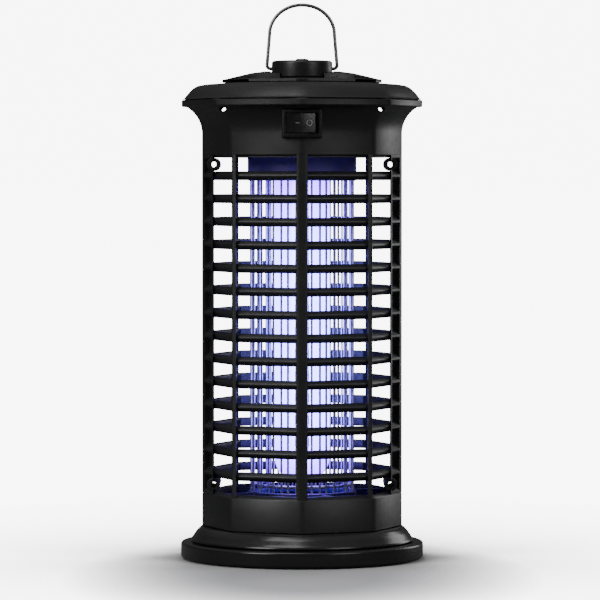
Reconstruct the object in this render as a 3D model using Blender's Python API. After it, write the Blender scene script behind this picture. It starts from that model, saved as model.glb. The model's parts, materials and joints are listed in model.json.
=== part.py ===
"""Lantern-shaped electric insect killer, built from its separate pieces.

Metres, +Z up. The origin is on the floor under the centre of the foot. The front, with the switch,
faces -Y, and one corner of the octagonal body points that way.
"""
import math

import bmesh
import bpy
from mathutils import Vector

# Driving dimensions
GAP = 0.0003                    # air between neighbouring pieces
STEP_ANGLE = math.radians(45.0)
HALF_STEP = STEP_ANGLE / 2.0
BODY_REACH = 0.05435            # axis to the flat of a blunted corner
CORNER_HALF = 0.0019            # half the width of a blunted corner
FOOT_RADIUS = 0.066
FOOT_TOP = 0.0093
COLLAR_BOTTOM = 0.0099
COLLAR_TOP = 0.0176
COLLAR_RADIUS = 0.0606
COLLAR_BORE = 0.0450
CAGE_BOTTOM = 0.0179
SILL = 0.0373                   # lower edge of the lowest row of openings
RAIL_BOTTOM = 0.2181            # upper edge of the highest row
RAIL_TOP = 0.2202
ROW_COUNT = 15
TOP_ROW = 0.2144                # centre of the highest row
BOTTOM_ROW = 0.0410             # centre of the lowest row
ROW_PITCH = (TOP_ROW - BOTTOM_ROW) / (ROW_COUNT - 1)
SLAT_CORNER = 0.0532            # axis to the corner of a slat's front edge
SLAT_DEPTH = 0.0050
SLAT_HALF = 0.00245
GROOVE_DEPTH = 0.0030           # grooves on the side posts
GROOVE_START = 0.0487
GROOVE_END = 0.0531
BOSS_X = 0.0479
BOSS_RADIUS = 0.0036
BOSS_HOLE = 0.0016
LAP_OUT = 0.0532                # lap joint between the cage and the head: groove's outer and inner reach
LAP_IN = 0.0514
LAP_DEPTH = 0.0012
HEAD_BOTTOM = 0.2205
FLARE_START = 0.2310
FLARE_RADIUS = 0.0166
FLARE_SWEEP = math.radians(60.8)
HEAD_WALL = 0.0026
RIM_REACH = 0.0654
RIM_BOTTOM = 0.2455
RIM_TOP = 0.2493
ROOF_BOTTOM = 0.2496
HUB_RADIUS = 0.0165
HUB_BOTTOM = 0.2612
HUB_TOP = 0.2707
BAIL_PIVOT = 0.2663
BAIL_TOP = 0.3020
WIRE = 0.0010                  # radius of the bail's wire
BAIL_LEG_X = 0.0190
BAIL_SHOULDER_X = 0.0176
BAIL_SHOULDER = 0.2850
SWITCH_Z = 0.2361
SWITCH_FACE = -0.0554           # front of the flat that the switch sits on
GRID_RADIUS = 0.0272
GRID_WIRE = 0.0006
GRID_WIRE_COUNT = 40
GRID_BOTTOM = 0.0371
GRID_TOP = 0.2095
TUBE_X = 0.0094
TUBE_RADIUS = 0.0056
LAMP_LOW = 0.0405
LAMP_CAP_BOTTOM = 0.2068
DECK_BOTTOM = 0.2205
DECK_TOP = 0.2228
LEDGE_BOTTOM = 0.2231
LEDGE_TOP = 0.2256
SCREW_SHANK = 0.0011
SCREW_HOLE = 0.00145
SCREW_HEAD = 0.0026
BOARD_BOTTOM = 0.2330
BOARD_TOP = 0.2346
BOARD_CORNERS = [(x, y) for x in (-0.0295, 0.0295) for y in (-0.0225, 0.0225)]
SCREW_FACES = (1, 2, 5, 6)
COLLAR_SCREW_REACH = 0.0474     # axis to the screws that hold the cage to the collar
COLLAR_SEAT = 0.0130            # where those screws' heads bear
HEAD_SCREW_REACH = 0.0458       # axis to the screws that hold the head and deck to the rail
ROOF_SCREW_REACH = 0.0518
ROOF_SEAT = 0.2467
ROCKER_PIVOT = -0.0550
ROCKER_TILT = math.radians(-10.0)
LEAD_PLACES = (-0.0060, 0.0060)
PIN_PLACES = (-0.0115, 0.0115)


# ---------------------------------------------------------------- tools
def clear_scene():
    for thing in list(bpy.data.objects):
        bpy.data.objects.remove(thing, do_unlink=True)


def material(name, colour, roughness, metallic=0.0):
    paint = bpy.data.materials.new(name)
    paint.use_nodes = True
    shader = paint.node_tree.nodes["Principled BSDF"]
    shader.inputs["Base Color"].default_value = (*colour, 1.0)
    shader.inputs["Roughness"].default_value = roughness
    shader.inputs["Metallic"].default_value = metallic
    return paint


def add_object(name, form, paint, smooth_below=None):
    """Closes a bmesh into a named object with its faces pointing out."""
    bmesh.ops.recalc_face_normals(form, faces=form.faces)
    mesh = bpy.data.meshes.new(name)
    form.to_mesh(mesh)
    form.free()
    mesh.materials.append(paint)
    if smooth_below is not None:
        mesh.shade_smooth()
        mesh.set_sharp_from_angle(angle=math.radians(smooth_below))
    thing = bpy.data.objects.new(name, mesh)
    bpy.context.collection.objects.link(thing)
    return thing


def add_copies(name, form, paint, places, smooth_below=None):
    """One mesh, shown by a numbered object at each place."""
    first = add_object(name + "_1", form, paint, smooth_below)
    first.location = places[0]
    for number, place in enumerate(places[1:], 2):
        copy = bpy.data.objects.new(f"{name}_{number}", first.data)
        copy.location = place
        bpy.context.collection.objects.link(copy)


def add_loft(form, rings, is_loop=False):
    """Skins rings of equal count. A loop joins the last ring to the first, otherwise both are capped."""
    rows = [[form.verts.new(point) for point in ring] for ring in rings]
    pairs = list(zip(rows, rows[1:]))
    if is_loop:
        pairs.append((rows[-1], rows[0]))
    else:
        form.faces.new(rows[0])
        form.faces.new(rows[-1])
    count = len(rings[0])
    for lower, upper in pairs:
        for index in range(count):
            after = (index + 1) % count
            form.faces.new((lower[index], lower[after], upper[after], upper[index]))


def at_height(outline, z):
    return [(x, y, z) for x, y in outline]


def add_prism(form, outline, bottom, top):
    add_loft(form, [at_height(outline, bottom), at_height(outline, top)])


def add_box(form, low, high):
    outline = [(low[0], low[1]), (high[0], low[1]), (high[0], high[1]), (low[0], high[1])]
    add_prism(form, outline, low[2], high[2])


def circle(radius, count, x=0.0, y=0.0, turn=0.0):
    points = []
    for index in range(count):
        angle = turn + 2.0 * math.pi * index / count
        points.append((x + radius * math.cos(angle), y + radius * math.sin(angle)))
    return points


def add_rod_z(form, x, y, radius, bottom, top, count=10):
    add_prism(form, circle(radius, count, x, y, math.pi / count), bottom, top)


def add_rod_y(form, x, z, radius, start, end, count=12):
    ring = circle(radius, count, x, z, math.pi / count)
    add_loft(form, [[(px, start, pz) for px, pz in ring], [(px, end, pz) for px, pz in ring]])


def add_rod_x(form, y, z, radius, start, end, count=12):
    ring = circle(radius, count, y, z, math.pi / count)
    add_loft(form, [[(start, py, pz) for py, pz in ring], [(end, py, pz) for py, pz in ring]])


def add_turned(form, profile, count):
    """Turns a closed (radius, z) profile that stays off the axis."""
    add_loft(form, [at_height(circle(radius, count), z) for radius, z in profile], is_loop=True)


def add_tube(form, path, radius, count):
    """Sweeps a round section along a path of points."""
    rings = []
    normal = None
    for index, point in enumerate(path):
        before = path[max(index - 1, 0)]
        after = path[min(index + 1, len(path) - 1)]
        along = (Vector(after) - Vector(before)).normalized()
        if normal is None:
            normal = along.orthogonal().normalized()
        normal = (normal - along * normal.dot(along)).normalized()
        across = along.cross(normal)
        ring = []
        for step in range(count):
            angle = 2.0 * math.pi * step / count
            offset = normal * (radius * math.cos(angle)) + across * (radius * math.sin(angle))
            ring.append(tuple(Vector(point) + offset))
        rings.append(ring)
    add_loft(form, rings)


def combine(target, tool_form, operation):
    """Joins a bmesh to an object, or cuts it out, and keeps the result as the object's mesh."""
    tool = add_object("tool", tool_form, target.data.materials[0])
    change = target.modifiers.new("change", "BOOLEAN")
    change.operation = operation
    change.solver = "EXACT"
    change.object = tool
    bpy.context.view_layer.update()
    seen = target.evaluated_get(bpy.context.evaluated_depsgraph_get())
    mesh = bpy.data.meshes.new_from_object(seen)
    target.modifiers.remove(change)
    target.data = mesh
    bpy.data.objects.remove(tool, do_unlink=True)


# ---------------------------------------------------------------- octagon outlines
def corner_half_at(reach):
    """Half the width of the blunted corner after the walls move in or out with it."""
    return CORNER_HALF + (reach - BODY_REACH) * (1.0 - math.cos(HALF_STEP)) / math.sin(HALF_STEP)


def octagon(reach, corner_half=None):
    """All sixteen points, with a corner at the front."""
    if corner_half is None:
        corner_half = corner_half_at(reach)
    points = []
    for corner in range(8):
        angle = math.radians(180.0) + STEP_ANGLE * corner
        out = (math.cos(angle), math.sin(angle))
        for side in (-1.0, 1.0):
            slide = side * corner_half
            points.append((reach * out[0] - slide * out[1], reach * out[1] + slide * out[0]))
    return points


def half_octagon(reach):
    """The front half, open at the split plane Y = 0."""
    edge = -GAP / 2.0
    points = [(-reach, edge)]
    points.extend(octagon(reach)[1:9])
    points.append((reach, edge))
    return points


def half_ring(outer_reach, inner_reach):
    return half_octagon(outer_reach) + list(reversed(half_octagon(inner_reach)))


def wall_offset(depth):
    """How far a wall of this depth reaches in, measured at the blunted corner."""
    return BODY_REACH - depth


def front_face_y(x):
    return -BODY_REACH + (abs(x) - CORNER_HALF) * math.tan(HALF_STEP)


def side_face_y(x):
    return -CORNER_HALF + (abs(x) - BODY_REACH) / math.tan(HALF_STEP)


# ---------------------------------------------------------------- cage
def add_cage_bands(form):
    """Lower band with its sill bevel, and the rail under the head."""
    sill_outer = wall_offset(0.0020)
    sill_bevel = 0.0017
    inner = wall_offset(0.0034)
    rings = [
        at_height(half_ring(BODY_REACH, inner), CAGE_BOTTOM),
        at_height(half_ring(BODY_REACH, inner), SILL - sill_bevel),
        at_height(half_ring(sill_outer, inner), SILL),
    ]
    add_loft(form, rings)
    rail_inner = wall_offset(0.0080)
    rings = [
        at_height(half_ring(wall_offset(0.0016), rail_inner), RAIL_BOTTOM),
        at_height(half_ring(BODY_REACH, rail_inner), RAIL_TOP),
    ]
    add_loft(form, rings)


def add_cage_flange(form):
    """Ledge inside the lower band, which the collar's screws bite into."""
    bottom = CAGE_BOTTOM + 0.0002
    thickness = 0.0041
    add_prism(form, half_ring(wall_offset(0.0015), wall_offset(0.0065)), bottom, bottom + thickness)


def add_cage_posts(form):
    """Five uprights. The openings beside them run straight back, as a two-part mould leaves them."""
    bottom = SILL - 0.0013
    top = RAIL_TOP - 0.0003
    depth = SLAT_DEPTH / math.cos(HALF_STEP)
    half = 0.00295
    front = front_face_y(half)
    outline = [(-half, front), (-CORNER_HALF, -BODY_REACH), (CORNER_HALF, -BODY_REACH)]
    outline.extend([(half, front), (half, front + depth), (-half, front + depth)])
    add_prism(form, outline, bottom, top)
    near = 0.0352
    far = 0.0376
    corner_x, corner_y = octagon(BODY_REACH)[6]
    slope_y = corner_y + (far - corner_x)
    back = front_face_y(near) + depth
    for side in (-1.0, 1.0):
        outline = [(side * near, front_face_y(near)), (side * corner_x, corner_y)]
        outline.extend([(side * far, slope_y), (side * far, back), (side * near, back)])
        add_prism(form, outline, bottom, top)
    inner_x = 0.0482
    inner_shift = SLAT_DEPTH / math.sin(HALF_STEP)
    inner_end = BODY_REACH - SLAT_DEPTH / math.cos(HALF_STEP) + CORNER_HALF * math.tan(HALF_STEP)
    for side in (-1.0, 1.0):
        outline = [(side * inner_x, side_face_y(inner_x)), (side * BODY_REACH, -CORNER_HALF)]
        outline.extend([(side * BODY_REACH, -GAP / 2.0), (side * inner_end, -GAP / 2.0)])
        outline.append((side * inner_x, side_face_y(inner_x) + inner_shift))
        add_prism(form, outline, bottom, top)


def add_slats(form):
    """Fourteen rails round the half octagon, each with a thin front edge between two bevels."""
    bevel = 0.0020
    back_half = 0.0021
    profile = [(0.0, 0.0), (bevel, -SLAT_HALF), (SLAT_DEPTH, -back_half)]
    profile.extend([(SLAT_DEPTH, back_half), (bevel, SLAT_HALF)])
    for row in range(ROW_COUNT - 1):
        middle = TOP_ROW - ROW_PITCH * (row + 0.5)
        rings = []
        for corner in range(5):
            angle = math.radians(180.0) + STEP_ANGLE * corner
            ring = []
            for depth, rise in profile:
                reach = SLAT_CORNER - depth / math.cos(HALF_STEP)
                y = min(reach * math.sin(angle), -GAP / 2.0)
                ring.append((reach * math.cos(angle), y, middle + rise))
            rings.append(ring)
        add_loft(form, rings)


def add_side_grooves(form):
    """Blind grooves that carry the openings' relief on over the wide side posts."""
    nose = 0.00055
    bevel = 0.0020
    slope = (SLAT_HALF - nose) / bevel
    proud = 0.0004
    reach = ROW_PITCH / 2.0 - nose
    for side in (-1.0, 1.0):
        out = (side * math.cos(HALF_STEP), -math.sin(HALF_STEP))
        for row in range(ROW_COUNT):
            middle = TOP_ROW - ROW_PITCH * row
            high = min(reach, RAIL_BOTTOM - middle)
            low = min(reach, middle - SILL)
            section = []
            for lift in (proud, -GROOVE_DEPTH):
                section.append((lift, middle + high + slope * lift))
                section.append((lift, middle - low - slope * lift))
            section = [section[0], section[1], section[3], section[2]]
            rings = []
            for x in (GROOVE_START, GROOVE_END):
                y = side_face_y(x)
                rings.append([(side * x + lift * out[0], y + lift * out[1], z) for lift, z in section])
            add_loft(form, rings)


def make_cage(paint):
    form = bmesh.new()
    add_cage_bands(form)
    front = add_object("front_cage", form, paint)
    for add_shapes in (add_cage_flange, add_cage_posts, add_slats):
        form = bmesh.new()
        add_shapes(form)
        combine(front, form, "UNION")
    form = bmesh.new()
    add_side_grooves(form)
    combine(front, form, "DIFFERENCE")
    bosses = bmesh.new()
    holes = bmesh.new()
    for x in (-BOSS_X, BOSS_X):
        for z in (TOP_ROW, BOTTOM_ROW):
            add_rod_y(bosses, x, z, BOSS_RADIUS, -0.0150, -GAP / 2.0, 10)
            add_rod_y(holes, x, z, BOSS_HOLE, -0.0300, 0.0100, 10)
    combine(front, bosses, "UNION")
    groove = bmesh.new()
    add_prism(groove, half_ring(LAP_OUT, LAP_IN), RAIL_TOP - LAP_DEPTH, RAIL_TOP + 0.001)
    combine(front, groove, "DIFFERENCE")
    for x, y in face_points(COLLAR_SCREW_REACH, (1, 2)):
        add_rod_z(holes, x, y, SCREW_HOLE, CAGE_BOTTOM - 0.002, 0.0212)
    for x, y in face_points(HEAD_SCREW_REACH, (1, 2)):
        add_rod_z(holes, x, y, SCREW_HOLE, RAIL_BOTTOM - 0.002, RAIL_TOP + 0.002)
    combine(front, holes, "DIFFERENCE")
    rear = bpy.data.objects.new("rear_cage", front.data)
    rear.rotation_euler = (0.0, 0.0, math.pi)
    bpy.context.collection.objects.link(rear)


def face_points(reach, faces):
    """Points in the middle of the octagon's faces. Faces 1 and 2 are the two at the front."""
    points = []
    for face in faces:
        angle = math.radians(180.0) + STEP_ANGLE * (face + 0.5)
        points.append((reach * math.cos(angle), reach * math.sin(angle)))
    return points


# ---------------------------------------------------------------- head
def flare_rings(inset, start, steps):
    """The hollow curve under the rim, as (reach, z) pairs."""
    rings = []
    radius = FLARE_RADIUS + inset
    for step in range(steps + 1):
        angle = FLARE_SWEEP * step / steps
        reach = start + radius * (1.0 - math.cos(angle))
        rings.append((reach, FLARE_START + radius * math.sin(angle)))
    return rings


def make_head(paint):
    tongue_end = HEAD_BOTTOM - LAP_DEPTH
    tongue_out = LAP_OUT - GAP
    tongue_in = BODY_REACH - HEAD_WALL
    profile = [(tongue_out, HEAD_BOTTOM), (BODY_REACH, HEAD_BOTTOM)]
    profile.extend(flare_rings(0.0, BODY_REACH, 6))
    profile.append((RIM_REACH, RIM_BOTTOM))
    profile.append((RIM_REACH, RIM_TOP))
    profile.append((0.0520, RIM_TOP))
    profile.append((0.0520, 0.2470))
    profile.extend([(0.0602, 0.2470), (0.0584, 0.2440), (0.0545, 0.2400), (0.0523, 0.2350)])
    profile.append((BODY_REACH - HEAD_WALL, FLARE_START - 0.002))
    profile.append((BODY_REACH - HEAD_WALL, LEDGE_TOP))
    profile.append((0.0460, LEDGE_TOP))
    profile.append((0.0460, LEDGE_BOTTOM))
    profile.append((BODY_REACH - HEAD_WALL, LEDGE_BOTTOM))
    profile.append((tongue_in, tongue_end))
    profile.append((tongue_out, tongue_end))
    form = bmesh.new()
    add_loft(form, [at_height(octagon(reach, CORNER_HALF), z) for reach, z in profile], is_loop=True)
    head = add_object("head_housing", form, paint)
    boss_half = 0.0107
    boss_low = SWITCH_Z - 0.0078
    boss_high = SWITCH_Z + 0.0078
    form = bmesh.new()
    add_box(form, (-boss_half, SWITCH_FACE, boss_low), (boss_half, -0.0490, boss_high))
    combine(head, form, "UNION")
    cuts = bmesh.new()
    add_box(cuts, (-boss_half, -0.0700, boss_low), (boss_half, SWITCH_FACE, boss_high))
    combine(head, cuts, "DIFFERENCE")
    cuts = bmesh.new()
    add_box(cuts, (-0.0098, -0.0600, SWITCH_Z - 0.0068), (0.0098, -0.0400, SWITCH_Z + 0.0068))
    for x, y in face_points(HEAD_SCREW_REACH, SCREW_FACES):
        add_rod_z(cuts, x, y, SCREW_HOLE, LEDGE_BOTTOM - 0.001, LEDGE_TOP + 0.001)
    for x, y in face_points(ROOF_SCREW_REACH, SCREW_FACES):
        add_rod_z(cuts, x, y, SCREW_HOLE, 0.2440, RIM_TOP + 0.001)
    add_eyelets(cuts)
    combine(head, cuts, "DIFFERENCE")


def add_eyelets(form):
    """Oval holes through the corner ridges just under the rim, on all corners but the front."""
    half_width = 0.0019
    through = 0.020
    ring = circle(1.0, 10)
    rows = ((0, 0.2437, 0.0011), (1, 0.2437, 0.0011), (3, 0.2437, 0.0011), (4, 0.2437, 0.0011))
    rows += ((5, 0.2446, 0.0017), (7, 0.2446, 0.0017))
    for corner, middle, half_height in rows:
        angle = math.radians(180.0) + STEP_ANGLE * corner
        x = 0.0600 * math.cos(angle)
        y = 0.0600 * math.sin(angle)
        rings = []
        for reach in (-through, through):
            outline = [(half_width * u, middle + half_height * v) for u, v in ring]
            if corner in (0, 4):
                rings.append([(x + reach, y + across, z) for across, z in outline])
            else:
                rings.append([(x + across, y + reach, z) for across, z in outline])
        add_loft(form, rings)


# ---------------------------------------------------------------- roof
def make_roof(paint):
    """Rim and shallow dome of eight faces, with screw bosses under it."""
    outer = [(RIM_REACH, ROOF_BOTTOM), (0.0640, 0.2500), (0.0629, 0.2515), (0.0613, 0.2534)]
    outer.extend([(0.0589, 0.2557), (0.0563, 0.2571), (0.0511, 0.2579), (0.0438, 0.2583)])
    outer.append((0.0200, 0.2592))
    inner = [(0.0200, 0.2570), (0.0438, 0.2561), (0.0505, 0.2556), (0.0555, 0.2545)]
    inner.extend([(0.0575, 0.2525), (0.0590, ROOF_BOTTOM)])
    form = bmesh.new()
    rings = [at_height(octagon(reach, CORNER_HALF + 0.0022), z) for reach, z in outer + inner]
    add_loft(form, rings, is_loop=True)
    roof = add_object("roof_cover", form, paint)
    bosses = bmesh.new()
    holes = bmesh.new()
    boss_radius = 0.0034
    boss_top = 0.2562
    hole_top = 0.2540
    for x, y in face_points(ROOF_SCREW_REACH, SCREW_FACES):
        add_rod_z(bosses, x, y, boss_radius, ROOF_BOTTOM, boss_top)
        add_rod_z(holes, x, y, SCREW_HOLE, ROOF_BOTTOM - 0.001, hole_top)
    combine(roof, bosses, "UNION")
    combine(roof, holes, "DIFFERENCE")


def make_vent_cap(paint):
    """Low octagonal tier over the roof, with a hooded vent on either side of the hub."""
    form = bmesh.new()
    profile = [(0.0433, 0.2588), (0.0433, 0.2600), (0.0415, 0.2604), (0.0172, 0.2609)]
    profile.extend([(0.0172, 0.2597), (0.0400, 0.2594)])
    rings = [at_height(octagon(reach, 0.0030), z) for reach, z in profile]
    add_loft(form, rings, is_loop=True)
    cap = add_object("vent_cap", form, paint)
    foot = 0.2598
    wings = bmesh.new()
    for side in (-1.0, 1.0):
        stations = [(0.0120, 0.2650, 0.2636, 0.0130), (0.0202, 0.2650, 0.2634, 0.0150)]
        stations.extend([(0.0279, 0.2640, 0.2622, 0.0200), (0.0363, 0.2620, 0.2612, 0.0200)])
        stations.append((0.0432, 0.2603, 0.2601, 0.0110))
        rings = []
        for x, ridge, eave, half in stations:
            section = [(-half, foot), (-half, eave), (0.0, ridge), (half, eave), (half, foot)]
            rings.append([(side * x, y, z) for y, z in section])
        add_loft(wings, rings)
    combine(cap, wings, "UNION")
    webs = bmesh.new()
    web_half = 0.0085
    web_top = 0.2602
    for side in (-1.0, 1.0):
        rings = []
        for x, bottom in ((0.0270, 0.2593), (0.0408, 0.2588)):
            section = [(-web_half, bottom), (-web_half, web_top), (web_half, web_top), (web_half, bottom)]
            rings.append([(side * x, y, z) for y, z in section])
        add_loft(webs, rings)
    combine(cap, webs, "UNION")
    cuts = bmesh.new()
    add_rod_z(cuts, 0.0, 0.0, HUB_RADIUS + 0.0007, 0.2580, 0.2700, 24)
    combine(cap, cuts, "DIFFERENCE")
    mouths = bmesh.new()
    for side in (-1.0, 1.0):
        for end in (-1.0, 1.0):
            low = (min(side * 0.0285, side * 0.0410), min(end * 0.0110, end * 0.0340), 0.2580)
            high = (max(side * 0.0285, side * 0.0410), max(end * 0.0110, end * 0.0340), 0.2600)
            add_box(mouths, low, high)
    combine(cap, mouths, "DIFFERENCE")


def make_hub(paint):
    form = bmesh.new()
    profile = [(0.0155, HUB_BOTTOM), (HUB_RADIUS, HUB_BOTTOM + 0.0006), (HUB_RADIUS, 0.2696)]
    profile.extend([(0.0160, 0.2704), (0.0150, HUB_TOP), (0.0047, HUB_TOP), (0.0047, 0.2640)])
    profile.extend([(0.0125, 0.2640), (0.0125, HUB_BOTTOM)])
    add_turned(form, profile, 24)
    hub = add_object("top_hub", form, paint, 35.0)
    form = bmesh.new()
    for side in (-1.0, 1.0):
        start = side * 0.0100
        end = side * 0.0180
        add_rod_x(form, 0.0, BAIL_PIVOT, WIRE + 0.0005, min(start, end), max(start, end))
    combine(hub, form, "DIFFERENCE")


def make_gland(paint):
    form = bmesh.new()
    profile = [(0.0044, 0.2655), (0.0044, 0.2702), (0.0034, 0.2710), (0.0032, 0.2716)]
    profile.extend([(0.0028, 0.2718), (0.0022, 0.2714), (0.0022, 0.2655)])
    add_turned(form, profile, 16)
    add_object("cord_gland", form, paint, 35.0)


def bail_path():
    """From one pin, up the leg, over the arch and down to the other pin."""
    half = []
    bend = 0.0020
    pin_end = 0.0134
    half.append((pin_end, 0.0, 0.0))
    half.append((BAIL_LEG_X - bend, 0.0, 0.0))
    half.append((BAIL_LEG_X - 0.0006, 0.0, 0.0006))
    half.append((BAIL_LEG_X, 0.0, bend))
    rise = BAIL_SHOULDER - BAIL_PIVOT
    half.append((BAIL_SHOULDER_X, 0.0, rise))
    arch = BAIL_TOP - WIRE - BAIL_SHOULDER
    steps = 7
    for step in range(1, steps):
        angle = math.pi / 2.0 * step / steps
        half.append((BAIL_SHOULDER_X * math.cos(angle), 0.0, rise + arch * math.sin(angle)))
    middle = [(0.0, 0.0, rise + arch)]
    mirrored = [(-x, y, z) for x, y, z in reversed(half)]
    return half + middle + mirrored


def make_bail(paint):
    form = bmesh.new()
    add_tube(form, bail_path(), WIRE, 8)
    bail = add_object("bail", form, paint, 50.0)
    bail.location = (0.0, 0.0, BAIL_PIVOT)


# ---------------------------------------------------------------- switch
def add_switch_box(form, half_width, half_height, front, back):
    add_box(form, (-half_width, front, SWITCH_Z - half_height), (half_width, back, SWITCH_Z + half_height))


def make_switch(paint, brass):
    """Rocker switch: flange and sleeve, a rocker that tilts about an upright pin, and two blades."""
    flange_back = SWITCH_FACE - GAP
    flange_front = flange_back - 0.0018
    sleeve_back = -0.0420
    well_back = -0.0480
    form = bmesh.new()
    add_switch_box(form, 0.0104, 0.0075, flange_front, flange_back)
    housing = add_object("switch_housing", form, paint)
    form = bmesh.new()
    add_switch_box(form, 0.0094, 0.0064, flange_back - 0.001, sleeve_back)
    combine(housing, form, "UNION")
    cuts = bmesh.new()
    add_switch_box(cuts, 0.0087, 0.0055, flange_front - 0.001, well_back)
    combine(housing, cuts, "DIFFERENCE")
    cuts = bmesh.new()
    add_rod_z(cuts, 0.0, ROCKER_PIVOT, 0.0014, SWITCH_Z - 0.0070, SWITCH_Z + 0.0070)
    combine(housing, cuts, "DIFFERENCE")
    blade = bmesh.new()
    add_box(blade, (-0.0004, -0.0417, -0.0024), (0.0004, -0.0345, 0.0024))
    add_copies("switch_terminal", blade, brass, [(x, 0.0, SWITCH_Z) for x in LEAD_PLACES])
    make_rocker(paint)


def make_rocker(paint):
    outline = [(-0.0077, -0.0036), (-0.0038, -0.0028), (0.0, -0.0025), (0.0038, -0.0028)]
    outline.extend([(0.0077, -0.0036), (0.0070, 0.0012), (0.0030, 0.0038), (-0.0030, 0.0038)])
    outline.append((-0.0070, 0.0012))
    form = bmesh.new()
    add_prism(form, outline, -0.0051, 0.0051)
    rocker = add_object("switch_rocker", form, paint)
    form = bmesh.new()
    add_rod_z(form, 0.0, 0.0, 0.0010, -0.0060, 0.0060)
    combine(rocker, form, "UNION")
    rocker.location = (0.0, ROCKER_PIVOT, SWITCH_Z)
    rocker.rotation_euler = (0.0, 0.0, ROCKER_TILT)


# ---------------------------------------------------------------- lamp deck and board
def make_deck(paint):
    form = bmesh.new()
    add_prism(form, octagon(0.0506), DECK_BOTTOM, DECK_TOP)
    deck = add_object("lamp_deck", form, paint)
    posts = bmesh.new()
    cuts = bmesh.new()
    for x, y in BOARD_CORNERS:
        add_rod_z(posts, x, y, 0.0032, DECK_BOTTOM + 0.0005, BOARD_BOTTOM - GAP, 10)
        add_rod_z(cuts, x, y, SCREW_HOLE, 0.2275, BOARD_BOTTOM + 0.001, 8)
    combine(deck, posts, "UNION")
    add_box(cuts, (-0.0175, -0.0112, 0.2190), (0.0175, 0.0112, 0.2240))
    for x, y in face_points(HEAD_SCREW_REACH, SCREW_FACES):
        add_rod_z(cuts, x, y, SCREW_HOLE, 0.2190, 0.2240)
    for x in (-0.0255, 0.0255):
        add_rod_z(cuts, x, 0.0, 0.0013, 0.2190, 0.2240, 8)
    combine(deck, cuts, "DIFFERENCE")


def make_lamp_socket(paint, brass):
    bottom = DECK_TOP + GAP
    form = bmesh.new()
    add_box(form, (-0.0195, -0.0125, bottom), (0.0195, 0.0125, 0.2305))
    socket = add_object("lamp_socket", form, paint)
    cuts = bmesh.new()
    for x in PIN_PLACES:
        add_rod_z(cuts, x, 0.0, 0.0018, bottom - 0.001, 0.2320)
    combine(socket, cuts, "DIFFERENCE")
    contact = bmesh.new()
    add_rod_z(contact, 0.0, 0.0, 0.0014, 0.2292, 0.2318, 8)
    add_copies("socket_contact", contact, brass, [(x, 0.0, 0.0) for x in PIN_PLACES])


def make_board(green, black, blue, brown, steel):
    """High-voltage board on the deck's four posts, over the lamp socket."""
    form = bmesh.new()
    add_box(form, (-0.0340, -0.0270, BOARD_BOTTOM), (0.0340, 0.0270, BOARD_TOP))
    board = add_object("driver_board", form, green)
    cuts = bmesh.new()
    for x, y in BOARD_CORNERS:
        add_rod_z(cuts, x, y, SCREW_HOLE, BOARD_BOTTOM - 0.001, BOARD_TOP + 0.001, 8)
    combine(board, cuts, "DIFFERENCE")
    screw = bmesh.new()
    add_screw(screw, -0.0056, 1.0, 8)
    seat = BOARD_TOP + GAP
    add_copies("board_screw", screw, steel, [(x, y, seat) for x, y in BOARD_CORNERS])
    form = bmesh.new()
    add_box(form, (-0.0230, 0.0020, seat), (-0.0070, 0.0180, seat + 0.0100))
    add_object("step_up_transformer", form, black)
    form = bmesh.new()
    add_rod_z(form, 0.0, 0.0, 0.0042, 0.0, 0.0110)
    add_copies("storage_capacitor", form, blue, [(0.0010, 0.0120, seat), (0.0120, 0.0120, seat)])
    form = bmesh.new()
    add_box(form, (0.0, 0.0, 0.0), (0.0090, 0.0050, 0.0075))
    add_copies("film_capacitor", form, brown, [(-0.0200, -0.0120, seat), (-0.0060, -0.0120, seat)])
    form = bmesh.new()
    add_rod_x(form, 0.0, 0.0014, 0.0012, -0.0030, 0.0030, 8)
    add_copies("rectifier_diode", form, black, [(0.0220, -0.0060, seat), (0.0220, 0.0020, seat)])


def add_screw(form, tip, up, count=10):
    """Pan-head screw seated at z = 0. Up is 1 where the head is above its seat and -1 where it is below."""
    head = 0.0017
    profile = [(SCREW_SHANK, tip), (SCREW_SHANK, 0.0), (SCREW_HEAD, 0.0)]
    profile.extend([(SCREW_HEAD, up * 0.6 * head), (0.6 * SCREW_HEAD, up * head)])
    add_loft(form, [at_height(circle(radius, count), z) for radius, z in profile])


def make_screws(steel):
    rows = (
        ("head_screw", HEAD_SCREW_REACH, LEDGE_TOP + GAP, -0.0073, 1.0),
        ("roof_screw", ROOF_SCREW_REACH, ROOF_SEAT, 0.0063, -1.0),
        ("collar_screw", COLLAR_SCREW_REACH, COLLAR_SEAT, 0.0075, -1.0),
    )
    for name, reach, seat, tip, up in rows:
        form = bmesh.new()
        add_screw(form, tip, up)
        add_copies(name, form, steel, [(x, y, seat) for x, y in face_points(reach, SCREW_FACES)])


# ---------------------------------------------------------------- grid and lamp
def make_grid_set(name, first, wire_reach, ring_in, ring_out, ring_bottom, paint):
    """Every second wire, joined by one flat ring that passes clear of the other set."""
    form = bmesh.new()
    for index in range(first, GRID_WIRE_COUNT, 2):
        angle = 2.0 * math.pi * (index + 0.25) / GRID_WIRE_COUNT
        x = wire_reach * math.cos(angle)
        y = wire_reach * math.sin(angle)
        add_rod_z(form, x, y, GRID_WIRE, GRID_BOTTOM, GRID_TOP, 6)
    wires = add_object(name, form, paint)
    form = bmesh.new()
    top = ring_bottom + 0.0016
    profile = [(ring_in, ring_bottom), (ring_out, ring_bottom), (ring_out, top), (ring_in, top)]
    add_turned(form, profile, GRID_WIRE_COUNT)
    combine(wires, form, "UNION")


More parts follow.
